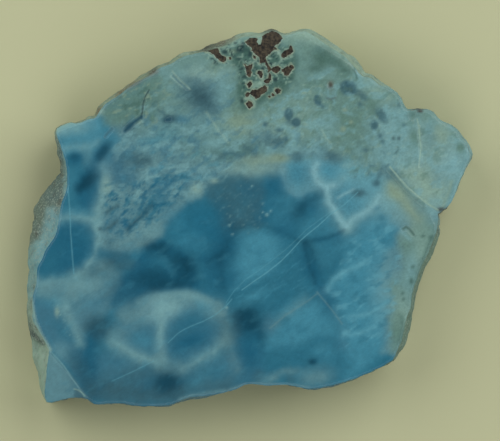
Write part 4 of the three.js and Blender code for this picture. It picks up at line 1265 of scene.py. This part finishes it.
@dataclass
class LarimarStone:
    """The slab, made from the CAD solid: its side refined and roughened, its two ends filled with a grid.

    Sizes are in millimetres.
    """

    face_cell: float = 0.265
    fine_reach: float = 0.3  # how far from a hairline or an inclusion's edge the grid is made finer
    back_cell: float = 1.2
    rim_gap: float = 0.7  # space between the grid and the rim, in cells
    side_cuts: int = 1
    side_smoothing: float = 0.35  # share of the way to its neighbours' middle that a vertex moves
    merge: float = 0.001
    level: float = 0.01  # how near to the face's or the back's height a vertex counts as on it
    side_swell: Ruggedness = Ruggedness(0.18, 2.0, 4, 21)
    side_calm: float = 0.9  # depth over which the roughness fades towards the face and the back
    rim_wear: Ruggedness = Ruggedness(0.07, 0.8, 2, 22)
    eased_edge: float = 0.10
    eased_reach: float = 0.22
    rim_step: int = 2  # every second place on the rim is enough to measure from
    relief_depth: float = 3.0  # how far down the side follows the face's low places
    pit_depth: float = 0.10  # how much lower the soft inclusions lie than the polish
    pit_wall: float = 0.18
    pit_lip: float = 0.06  # how far outside an inclusion's edge its wall starts
    pit_floor: Ruggedness = Ruggedness(0.5, 0.5, 2, 23)  # its height is a share of the pit's depth

    def build(self) -> bpy.types.Object:
        """Makes the stone as one closed mesh.

        Returns:
            The object, with its paintings stored on the mesh.
        """
        mesh = bmesh.new()
        mesh.from_mesh(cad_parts[SLAB_NODE].data)
        bmesh.ops.remove_doubles(mesh, verts=mesh.verts, dist=self.merge * MM)
        self._open_ends(mesh)
        bmesh.ops.subdivide_edges(mesh, edges=mesh.edges, cuts=self.side_cuts, use_grid_fill=True)
        for side_face in mesh.faces:
            side_face.material_index = Surface.SIDE.value
        self._smooth_side(mesh)
        self._fill_end(mesh, THICKNESS, self.face_cell, Surface.FACE)
        self._refine_face(mesh)
        self._fill_end(mesh, 0.0, self.back_cell, Surface.BACK)
        self._roughen_side(mesh)
        self._carve_face(mesh)
        return self._finish(mesh)

    def _on_level(self, vertices: list[bmesh.types.BMVert], height: float) -> bool:
        """Tells whether all of these vertices lie at a height above the back."""
        return all(abs(vertex.co.z / MM - height) < self.level for vertex in vertices)

    def _open_ends(self, mesh: bmesh.types.BMesh) -> None:
        """Takes off the CAD solid's face and back, and leaves its side."""
        ends = [
            flat for flat in mesh.faces
            if self._on_level(flat.verts, 0.0) or self._on_level(flat.verts, THICKNESS)
        ]
        bmesh.ops.delete(mesh, geom=ends, context="FACES")

    def _smooth_side(self, mesh: bmesh.types.BMesh) -> None:
        """Rounds the CAD solid's facets on the side, and leaves the two rims where they are."""
        inner = [vertex for vertex in mesh.verts if not vertex.is_boundary]
        bmesh.ops.smooth_vert(
            mesh, verts=inner, factor=self.side_smoothing, use_axis_x=True, use_axis_y=True, use_axis_z=True)

    def _rim(self, mesh: bmesh.types.BMesh, height: float) -> list[bmesh.types.BMEdge]:
        """Finds the open edges at a height above the back."""
        return [edge for edge in mesh.edges if edge.is_boundary and self._on_level(edge.verts, height)]

    def _outline(self, rim: list[bmesh.types.BMEdge]) -> list[Place]:
        """Walks round a rim.

        Args:
            rim: The rim's edges, which form one closed ring.

        Returns:
            The rim's places in order, in millimetres.
        """
        start = rim[0].verts[0]
        ring, vertex, came = [], start, None
        allowed = set(rim)
        while vertex is not start or not ring:
            ring.append((vertex.co.x / MM, vertex.co.y / MM))
            came = next(edge for edge in vertex.link_edges if edge in allowed and edge is not came)
            vertex = came.other_vert(vertex)
        return ring

    def _fill_end(self, mesh: bmesh.types.BMesh, height: float, cell: float, surface: Surface) -> None:
        """Closes one end of the slab with a grid, joined to the rim by a strip of triangles.

        Args:
            mesh: The mesh to add to.
            height: The end's height above the back, in millimetres.
            cell: The size of the grid's cells in millimetres.
            surface: Which surface this is.
        """
        outline = self._outline(self._rim(mesh, height))
        half = np.abs(np.array(outline)).max(axis=0)
        counts = [math.ceil(2 * reach / cell) for reach in half]
        known = set(mesh.faces)
        place = Matrix.Translation((0, 0, height * MM)) @ Matrix.Diagonal((half[0] * MM, half[1] * MM, 1, 1))
        grid = bmesh.ops.create_grid(
            mesh, x_segments=counts[0], y_segments=counts[1], size=1, matrix=place)["verts"]
        outside = distance_to_outline(in_millimetres(grid), outline)
        spare = [vertex for vertex, gap in zip(grid, outside) if gap > -self.rim_gap * cell]
        bmesh.ops.delete(mesh, geom=spare, context="VERTS")
        bmesh.ops.delete(mesh, geom=[edge for edge in mesh.edges if edge.is_wire], context="EDGES")
        loose = [vertex for vertex in mesh.verts if not vertex.link_edges]
        bmesh.ops.delete(mesh, geom=loose, context="VERTS")
        open_rims = self._rim(mesh, height)
        bmesh.ops.triangle_fill(mesh, edges=open_rims, use_beauty=True, normal=Vector((0, 0, 1)))
        for flat in mesh.faces:
            if flat not in known:
                flat.material_index = surface.value

    def _refine_face(self, mesh: bmesh.types.BMesh) -> None:
        """Halves the grid's cells along the hairlines and round the inclusions.

        Args:
            mesh: The mesh, with its face already filled.
        """
        cells = [cell for cell in mesh.faces if cell.material_index == Surface.FACE.value]
        middles = np.array([cell.calc_center_median() for cell in cells]) / MM
        to_line = np.min([line.gap(middles) for line in HAIRLINES], axis=0)
        to_detail = np.minimum(to_line, np.abs(gap_to_inclusions(middles)))
        near = [cell for cell, gap in zip(cells, to_detail) if gap < self.fine_reach]
        chosen = [cell for cell in near if len(cell.verts) == 4]
        edges = list(dict.fromkeys(edge for cell in chosen for edge in cell.edges))
        bmesh.ops.subdivide_edges(mesh, edges=edges, cuts=1, use_grid_fill=True)

    def _roughen_side(self, mesh: bmesh.types.BMesh) -> None:
        """Gives the side its rough skin, and the two rims a little wear.

        Args:
            mesh: The closed mesh.
        """
        mesh.normal_update()
        side_faces = [face for face in mesh.faces if face.material_index == Surface.SIDE.value]
        side = {vertex for face in side_faces for vertex in face.verts}
        vertices = sorted(side, key=lambda vertex: vertex.index)
        points = in_millimetres(vertices)
        depth = THICKNESS - points[:, 2]
        calm = smoothstep(0, self.side_calm, depth) * smoothstep(0, self.side_calm, points[:, 2])
        moves = self.side_swell.lift(points) * calm + self.rim_wear.lift(points) * (1 - calm)
        for vertex, rise in zip(vertices, moves):
            out = Vector((vertex.normal.x, vertex.normal.y, 0))
            if out.length > 0:
                vertex.co += out.normalized() * rise * MM

    def _carve_face(self, mesh: bmesh.types.BMesh) -> None:
        """Eases the polished face's edge and sinks its low places.

        Args:
            mesh: The closed mesh.
        """
        rim = self._outline(self._sharp_rim(mesh, THICKNESS))[::self.rim_step]
        top = (THICKNESS - self.relief_depth) * MM
        vertices = [vertex for vertex in mesh.verts if vertex.co.z > top]
        points = in_millimetres(vertices)
        on_face = smoothstep(self.relief_depth, 0, THICKNESS - points[:, 2])
        from_edge = distance_to_path(points, rim)
        eased = self.eased_edge * np.exp(-((from_edge / self.eased_reach) ** 2))
        chips = np.max([part.sink(points) for part in RELIEF if isinstance(part, Chip)], axis=0)
        dents = np.sum([part.sink(points) for part in RELIEF if isinstance(part, Dent)], axis=0)
        sunk = (eased + chips + dents + self._pits(points)) * on_face
        for vertex, depth in zip(vertices, sunk):
            vertex.co.z -= depth * MM

    def _pits(self, points: Points) -> Values:
        """Sinks the inclusions, which are softer than the stone, and gives them a broken floor."""
        inside = smoothstep(self.pit_lip, -self.pit_wall, gap_to_inclusions(points))
        return self.pit_depth * inside * (1 + self.pit_floor.lift(points[:, :2]))

    def _sharp_rim(self, mesh: bmesh.types.BMesh, height: float) -> list[bmesh.types.BMEdge]:
        """Finds the edges where the side meets the face or the back."""
        level = [edge for edge in mesh.edges if self._on_level(edge.verts, height)]
        return [edge for edge in level if not self._within_one_surface(edge)]

    def _within_one_surface(self, edge: bmesh.types.BMEdge) -> bool:
        """Tells whether the faces on both sides of an edge belong to one surface."""
        return len({face.material_index for face in edge.link_faces}) == 1

    def _finish(self, mesh: bmesh.types.BMesh) -> bpy.types.Object:
        """Sets the shading, stores the paintings and makes the object.

        Args:
            mesh: The closed mesh. It is freed.

        Returns:
            The object.
        """
        bmesh.ops.recalc_face_normals(mesh, faces=mesh.faces)
        for face in mesh.faces:
            face.smooth = True
        for edge in mesh.edges:
            edge.smooth = self._within_one_surface(edge)
        data = bpy.data.meshes.new("larimar_stone")
        mesh.to_mesh(data)
        mesh.free()
        places = np.empty(len(data.vertices) * 3)
        data.vertices.foreach_get("co", places)
        points = places.reshape(-1, 3) / MM
        for painting in (CUT_STONE, NATURAL_SKIN):
            for mineral, share in painting.shares(points).items():
                store(data, painting.attribute(mineral), share)
        store(data, INCLUSION_GAP, gap_to_inclusions(points))
        store(data, CRUMBLED, PALE_STONE.cover(points))
        store(data, UNPOLISHED, unpolished(points))
        stone = bpy.data.objects.new("larimar_stone", data)
        bpy.context.scene.collection.objects.link(stone)
        return stone


def store(data: bpy.types.Mesh, name: str, values: Values) -> None:
    """Stores one number for each vertex of a mesh, under a name that a material can read."""
    data.attributes.new(name, "FLOAT", "POINT").data.foreach_set("value", values)


# The finishes

Socket = bpy.types.NodeSocket
Tree = bpy.types.NodeTree


def add_node(tree: Tree, kind: str, settings: dict, links: dict) -> bpy.types.Node:
    """Adds a node.

    Args:
        tree: The node tree.
        kind: The node's type.
        settings: Values for its properties, and for its inputs by name or number.
        links: The sockets to link to its inputs, by name or number.

    Returns:
        The node.
    """
    node = tree.nodes.new(kind)
    for key, value in settings.items():
        if isinstance(key, str) and hasattr(node, key):
            setattr(node, key, value)
        else:
            node.inputs[key].default_value = value
    for key, socket in links.items():
        tree.links.new(socket, node.inputs[key])
    return node


def maths(
    tree: Tree, operation: str, links: dict, settings: dict | None = None, vector: bool = False,
) -> Socket:
    """Adds a sum of numbers or of colours.

    Args:
        tree: The node tree.
        operation: What to do with the inputs.
        links: The sockets to link to the inputs, by name or number.
        settings: Values for the other inputs.
        vector: Whether the inputs are colours or places, and not single numbers.

    Returns:
        The socket with the result.
    """
    kind = "ShaderNodeVectorMath" if vector else "ShaderNodeMath"
    return add_node(tree, kind, {"operation": operation} | (settings or {}), links).outputs[0]


def new_material(name: str) -> tuple[bpy.types.Material, Tree]:
    """Makes an empty material.

    Args:
        name: The material's name.

    Returns:
        The material and its node tree.
    """
    material = bpy.data.materials.new(name)
    material.use_nodes = True
    material.node_tree.nodes.clear()
    return material, material.node_tree


def close_material(tree: Tree, settings: dict, links: dict) -> None:
    """Ends a material with its shader.

    Args:
        tree: The node tree.
        settings: Values for the shader's inputs.
        links: The sockets to link to them.
    """
    shader = add_node(tree, "ShaderNodeBsdfPrincipled", settings, links)
    add_node(tree, "ShaderNodeOutputMaterial", {}, {"Surface": shader.outputs["BSDF"]})


def place_in_mm(tree: Tree) -> Socket:
    """Gives the place on the stone, in millimetres of its own frame."""
    coordinates = add_node(tree, "ShaderNodeTexCoord", {}, {}).outputs["Object"]
    return maths(tree, "SCALE", {0: coordinates}, {"Scale": 1 / MM}, vector=True)


def attribute(tree: Tree, name: str) -> Socket:
    """Reads a number stored on the mesh."""
    return add_node(tree, "ShaderNodeAttribute", {"attribute_name": name}, {}).outputs["Fac"]


NOISE_ROUGHNESS = 0.55
NOISE_MIDDLE = (0.25, 0.75)  # nearly all of a noise's values lie between these


class Detail(Enum):
    """How many finer layers a noise has."""

    SOFT = 2
    GRAINY = 3
    CRUMBLY = 4
    LUMPY = 5


def grain(
    tree: Tree, place: Socket, size: float, detail: Detail, turn: float = 0.0, stretch: float = 1.0,
) -> Socket:
    """Adds noise.

    Args:
        tree: The node tree.
        place: The place in millimetres.
        size: How far apart the noise's swells are, in millimetres.
        detail: How broken it is.
        turn: The direction in which it is stretched, in degrees.
        stretch: How many times longer its swells are than wide.

    Returns:
        The socket with a value from 0 to 1, mostly near a half.
    """
    turned = add_node(
        tree, "ShaderNodeMapping", {"Rotation": (0, 0, -math.radians(turn)), "Scale": (1, 1, 1)},
        {"Vector": place}).outputs[0]
    per_swell = (1 / (size * stretch), 1 / size, 1 / size)
    drawn = maths(tree, "MULTIPLY", {0: turned}, {1: per_swell}, vector=True)
    noise = add_node(
        tree, "ShaderNodeTexNoise", {"Scale": 1.0, "Detail": detail.value, "Roughness": NOISE_ROUGHNESS},
        {"Vector": drawn})
    return noise.outputs["Fac"]


def between(
    tree: Tree, value: Socket, low: float, high: float, bottom: float = 0.0, top: float = 1.0,
) -> Socket:
    """Turns a value into one that goes from bottom to top while it goes from low to high.

    Args:
        tree: The node tree.
        value: The value.
        low: Where the value starts to count.
        high: Where it stops counting. It may be under low.
        bottom: What the value gives at low.
        top: What it gives at high.

    Returns:
        The socket with the new value.
    """
    return add_node(
        tree, "ShaderNodeMapRange",
        {"From Min": low, "From Max": high, "To Min": bottom, "To Max": top}, {"Value": value}).outputs[0]


def blend(tree: Tree, under: Socket, share: Socket, colour: str) -> Socket:
    """Lays a plain colour over another colour by a share."""
    mix = add_node(tree, "ShaderNodeMix", {"data_type": "RGBA", 7: linear(colour)}, {0: share, 6: under})
    return mix.outputs[2]


def shaded(tree: Tree, colour: Socket, value: Socket, depth: float) -> Socket:
    """Makes a colour darker and lighter with a value from 0 to 1, by up to the depth."""
    factor = between(tree, value, *NOISE_MIDDLE, 1 - depth, 1 + depth)
    return maths(tree, "SCALE", {0: colour, "Scale": factor}, vector=True)


def bumped(tree: Tree, height: Socket, depth: float) -> Socket:
    """Turns a value from 0 to 1 into relief of a depth in millimetres, and gives the normal."""
    bump = add_node(tree, "ShaderNodeBump", {"Strength": 1.0, "Distance": depth * MM}, {"Height": height})
    return bump.outputs[0]


def painted(tree: Tree, painting: Painting) -> Socket:
    """Adds up a painting's minerals by their shares.

    Args:
        tree: The node tree.
        painting: The painting, whose shares are stored on the mesh.

    Returns:
        The socket with the colour.
    """
    total = None
    for mineral in painting.minerals():
        links = {1: attribute(tree, painting.attribute(mineral))} | ({2: total} if total else {})
        total = maths(tree, "MULTIPLY_ADD", links, {0: linear(mineral.value)[:3]}, vector=True)
    return total


@dataclass(frozen=True)
class PolishedPectolite:
    """Polished pectolite: a clear, even gloss over colour that lies a little below the surface.

    The inclusions of altered rock don't take the polish: they are dull, brown and rimmed with a pale rind.
    """

    ior: float = 1.6
    roughness: float = 0.14
    sheen: float = 0.5
    bare_roughness: float = 0.6
    bare_sheen: float = 0.12
    fibre_size: float = 0.22  # millimetres
    fibre_stretch: float = 2.5
    fibre_turn: float = 32.0  # degrees
    fibre_depth: float = 0.06
    cloud_size: float = 0.9  # millimetres
    cloud_depth: float = 0.08
    crumb_size: float = 0.42  # millimetres
    crumb_depth: float = 0.10
    fray: float = 0.26  # how far the inclusions' edges wander, in millimetres
    fray_size: float = 0.4
    core_edge: tuple[float, float] = (0.04, -0.05)  # the gap where the rock starts and where it is full
    rind: str = "#82947f"
    rind_edge: tuple[float, float] = (0.34, 0.085)  # the gap where the rind starts and where it is full
    rind_patches: tuple[float, float] = (0.3, 0.6)  # the noise's values between which the rind comes
    rind_strength: float = 0.84  # where it is strongest
    patch_size: float = 0.9
    rock_size: float = 0.45
    rock_crumbs: tuple[float, float] = (0.38, 0.66)  # the noise's values between which the rock lightens
    rock_dark: str = "#1d1c1a"
    rock_light: str = "#4a4336"

    def make(self) -> bpy.types.Material:
        """Makes the material.

        Returns:
            The material, which is ready to be worn.
        """
        material, tree = new_material("polished_pectolite")
        place = place_in_mm(tree)
        stone = self._stone(tree, place)
        gap = self._frayed_gap(tree, place)
        edged = blend(tree, stone, self._rim(tree, place, gap), self.rind)
        core = between(tree, gap, *self.core_edge)
        rock = self._rock(tree, place)
        mix = add_node(tree, "ShaderNodeMix", {"data_type": "RGBA"}, {0: core, 6: edged, 7: rock})
        bare = maths(tree, "MAXIMUM", {0: core, 1: attribute(tree, UNPOLISHED)})
        roughness = between(tree, bare, 0, 1, self.roughness, self.bare_roughness)
        sheen = between(tree, bare, 0, 1, self.sheen, self.bare_sheen)
        close_material(
            tree, {"IOR": self.ior},
            {"Base Color": mix.outputs[2], "Roughness": roughness, "Specular IOR Level": sheen})
        return material

    def _stone(self, tree: Tree, place: Socket) -> Socket:
        """Gives the sound stone: its painting with clouds, fibres and crumbs.

        Args:
            tree: The node tree.
            place: The place in millimetres.

        Returns:
            The socket with the colour.
        """
        clouds = grain(tree, place, self.cloud_size, Detail.GRAINY)
        fibres = grain(
            tree, place, self.fibre_size, Detail.SOFT, self.fibre_turn, self.fibre_stretch)
        stone = shaded(tree, painted(tree, CUT_STONE), clouds, self.cloud_depth)
        return self._crumbled(tree, place, shaded(tree, stone, fibres, self.fibre_depth))

    def _crumbled(self, tree: Tree, place: Socket, stone: Socket) -> Socket:
        """Gives the pale stone its fine crumbs.

        Args:
            tree: The node tree.
            place: The place in millimetres.
            stone: The stone's colour.

        Returns:
            The socket with the colour.
        """
        fine = grain(tree, place, self.crumb_size, Detail.GRAINY)
        crumbs = between(tree, fine, *NOISE_MIDDLE, -1, 1)
        weighed = maths(tree, "MULTIPLY", {0: crumbs, 1: attribute(tree, CRUMBLED)})
        factor = between(tree, weighed, -1, 1, 1 - self.crumb_depth, 1 + self.crumb_depth)
        return maths(tree, "SCALE", {0: stone, "Scale": factor}, vector=True)

    def _frayed_gap(self, tree: Tree, place: Socket) -> Socket:
        """Gives the inclusions a ragged edge.

        Args:
            tree: The node tree.
            place: The place in millimetres.

        Returns:
            The socket with the distance to the nearest inclusion's edge, in millimetres.
        """
        ragged = grain(tree, place, self.fray_size, Detail.GRAINY)
        wander = between(tree, ragged, *NOISE_MIDDLE, -self.fray / 2, self.fray / 2)
        return maths(tree, "ADD", {0: attribute(tree, INCLUSION_GAP), 1: wander})

    def _rim(self, tree: Tree, place: Socket, gap: Socket) -> Socket:
        """Lays the pale rind, which comes in patches round the inclusions.

        Args:
            tree: The node tree.
            place: The place in millimetres.
            gap: The distance to the nearest inclusion's edge, in millimetres.

        Returns:
            The socket with the rind's share.
        """
        patches = grain(tree, place, self.patch_size, Detail.SOFT)
        strength = between(tree, patches, *self.rind_patches, 0, self.rind_strength)
        return maths(tree, "MULTIPLY", {0: between(tree, gap, *self.rind_edge), 1: strength})

    def _rock(self, tree: Tree, place: Socket) -> Socket:
        """Mixes the altered rock's two browns.

        Args:
            tree: The node tree.
            place: The place in millimetres.

        Returns:
            The socket with the colour.
        """
        rough = grain(tree, place, self.rock_size, Detail.CRUMBLY)
        crumbs = between(tree, rough, *self.rock_crumbs)
        colours = {6: linear(self.rock_dark), 7: linear(self.rock_light)}
        return add_node(tree, "ShaderNodeMix", {"data_type": "RGBA"} | colours, {0: crumbs}).outputs[2]


@dataclass(frozen=True)
class WeatheredSkin:
    """The natural skin of the stone: dull, grainy, speckled with chalk and stained brown in its hollows."""

    ior: float = 1.55
    roughness: float = 0.8
    lump_size: float = 1.6  # millimetres
    lump_depth: float = 0.22
    hollows: tuple[float, float] = (0.42, 0.30)  # the lumps' values where the stain starts and is full
    stain: str = "#4d4a3d"
    stain_strength: float = 0.4
    speckle_size: float = 0.32
    speckles: tuple[float, float] = (0.52, 0.62)  # the noise's values between which the chalk comes
    chalk: str = "#94a59a"
    chalk_strength: float = 0.6
    bump_depth: float = 0.35  # millimetres

    def make(self) -> bpy.types.Material:
        """Makes the material.

        Returns:
            The material, which is ready to be worn.
        """
        material, tree = new_material("weathered_pectolite_skin")
        place = place_in_mm(tree)
        lumps = grain(tree, place, self.lump_size, Detail.LUMPY)
        skin = shaded(tree, painted(tree, NATURAL_SKIN), lumps, self.lump_depth)
        hollows = between(tree, lumps, *self.hollows, 0, self.stain_strength)
        skin = blend(tree, skin, hollows, self.stain)
        fine = grain(tree, place, self.speckle_size, Detail.GRAINY)
        speckles = between(tree, fine, *self.speckles, 0, self.chalk_strength)
        skin = blend(tree, skin, speckles, self.chalk)
        close_material(
            tree, {"IOR": self.ior, "Roughness": self.roughness},
            {"Base Color": skin, "Normal": bumped(tree, lumps, self.bump_depth)})
        return material


@dataclass(frozen=True)
class SawnBack:
    """Pectolite as the saw left it: matt and a little pale, with the blade's arcs across the same cells."""

    ior: float = 1.6
    roughness: float = 0.55
    dust: str = "#7c9598"
    dust_range: tuple[float, float] = (0.22, 0.36)  # its share between the arcs and on them
    blade_centre: tuple[float, float, float] = (150.0, -120.0, 0.0)  # millimetres
    arc_spacing: float = 1.3
    arc_wander: float = 0.6
    arc_detail: float = 2.0
    arc_depth: float = 0.03
    grain_size: float = 0.3
    grain_depth: float = 0.1

    RINGS_PER_UNIT = 0.314  # the rings' scale that sets them one unit apart

    def make(self) -> bpy.types.Material:
        """Makes the material.

        Returns:
            The material, which is ready to be worn.
        """
        material, tree = new_material("sawn_pectolite")
        place = place_in_mm(tree)
        fine = grain(tree, place, self.grain_size, Detail.GRAINY)
        arcs = self._arcs(tree, place)
        colour = shaded(tree, painted(tree, CUT_STONE), fine, self.grain_depth)
        colour = blend(tree, colour, between(tree, arcs, 0, 1, *self.dust_range), self.dust)
        close_material(
            tree, {"IOR": self.ior, "Roughness": self.roughness},
            {"Base Color": colour, "Normal": bumped(tree, arcs, self.arc_depth)})
        return material

    def _arcs(self, tree: Tree, place: Socket) -> Socket:
        """Draws the arcs that the blade left.

        Args:
            tree: The node tree.
            place: The place in millimetres.

        Returns:
            The socket with a value that goes from 0 to 1 and back across each arc.
        """
        from_blade = maths(tree, "SUBTRACT", {0: place}, {1: self.blade_centre}, vector=True)
        rings = {"wave_type": "RINGS", "rings_direction": "Z"}
        size = {"Scale": self.RINGS_PER_UNIT / self.arc_spacing}
        wander = {"Distortion": self.arc_wander, "Detail": self.arc_detail}
        wave = add_node(tree, "ShaderNodeTexWave", rings | size | wander, {"Vector": from_blade})
        return wave.outputs["Fac"]


# The studio


@dataclass(frozen=True)
class Lamp:
    """A round soft lamp that looks at the slab from one side."""

    name: str
    turn: float  # degrees round the slab from +X
    power: float  # watts


@dataclass(frozen=True)
class Studio:
    """A pale floor, soft light from the sides and a camera that looks straight down on the polished face.

    Sizes are in millimetres. The lamps hang clear of the mirror direction of the face, so that no reflection
    veils the dark blues.
    """

    camera_distance: float = 1500.0
    camera_sees: tuple[float, float] = (10.0, 10000.0)  # the nearest and the farthest
    sensor: float = 36.0
    floor_size: float = 2400.0
    floor_colour: str = "#b5b793"
    floor_roughness: float = 0.9
    floor_sheen: float = 0.1
    lamp_distance: float = 900.0
    lamp_size: float = 1400.0
    lamp_height: float = 750.0
    lamps: tuple[Lamp, ...] = (
        Lamp("lamp_right", 35.0, 12.3),
        Lamp("lamp_left", 150.0, 9.5),
        Lamp("lamp_front", 270.0, 6.8),
    )
    room_light: float = 0.03

    def build(self) -> None:
        """Adds the floor, the lights and the camera."""
        self._floor()
        for lamp in self.lamps:
            self._lamp(lamp)
        self._room()
        self._camera()

    def _floor(self) -> None:
        """Lays the floor that the slab rests on."""
        mesh = bmesh.new()
        bmesh.ops.create_grid(mesh, x_segments=1, y_segments=1, size=self.floor_size * MM / 2)
        data = bpy.data.meshes.new("floor")
        mesh.to_mesh(data)
        mesh.free()
        floor = bpy.data.objects.new("floor", data)
        bpy.context.scene.collection.objects.link(floor)
        material, tree = new_material("pale_floor")
        look = {"Roughness": self.floor_roughness, "Specular IOR Level": self.floor_sheen}
        close_material(tree, {"Base Color": linear(self.floor_colour)} | look, {})
        data.materials.append(material)

    def _lamp(self, lamp: Lamp) -> None:
        """Hangs one lamp.

        Args:
            lamp: The lamp.
        """
        light = bpy.data.lights.new(lamp.name, "AREA")
        light.shape = "DISK"
        light.size = self.lamp_size * MM
        light.energy = lamp.power
        holder = bpy.data.objects.new(lamp.name, light)
        angle = math.radians(lamp.turn)
        x, y = self.lamp_distance * math.cos(angle), self.lamp_distance * math.sin(angle)
        holder.location = Vector((x, y, self.lamp_height)) * MM
        holder.rotation_euler = (-holder.location).to_track_quat("-Z", "Y").to_euler()
        bpy.context.scene.collection.objects.link(holder)

    def _room(self) -> None:
        """Fills the shadows with a little even light."""
        world = bpy.data.worlds.new("dim_room")
        world.use_nodes = True
        background = world.node_tree.nodes["Background"]
        background.inputs["Color"].default_value = (1, 1, 1, 1)
        background.inputs["Strength"].default_value = self.room_light
        bpy.context.scene.world = world

    def _camera(self) -> None:
        """Sets the camera over the middle of the photograph's frame."""
        camera = bpy.data.cameras.new("camera")
        camera.sensor_width = self.sensor
        camera.lens = self.sensor * self.camera_distance / (PHOTO_SIZE[0] * PIXEL)
        camera.clip_start, camera.clip_end = [reach * MM for reach in self.camera_sees]
        holder = bpy.data.objects.new("camera", camera)
        x, y = on_slab((PHOTO_SIZE[0] / 2, PHOTO_SIZE[1] / 2))
        holder.location = Vector((x, y, THICKNESS + self.camera_distance)) * MM
        bpy.context.scene.collection.objects.link(holder)
        bpy.context.scene.camera = holder


def main() -> None:
    """Builds the stone and the studio."""
    logging.basicConfig(level=logging.INFO, format="%(message)s")
    bpy.context.scene.view_settings.view_transform = "Standard"
    stone = LarimarStone().build()
    for finish in (PolishedPectolite(), WeatheredSkin(), SawnBack()):
        stone.data.materials.append(finish.make())
    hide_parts(SLAB_NODE)
    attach(stone, "root")
    LOG.info("%s: %d vertices, %d faces", stone.name, len(stone.data.vertices), len(stone.data.polygons))
    Studio().build()


if __name__ == "__main__":
    main()
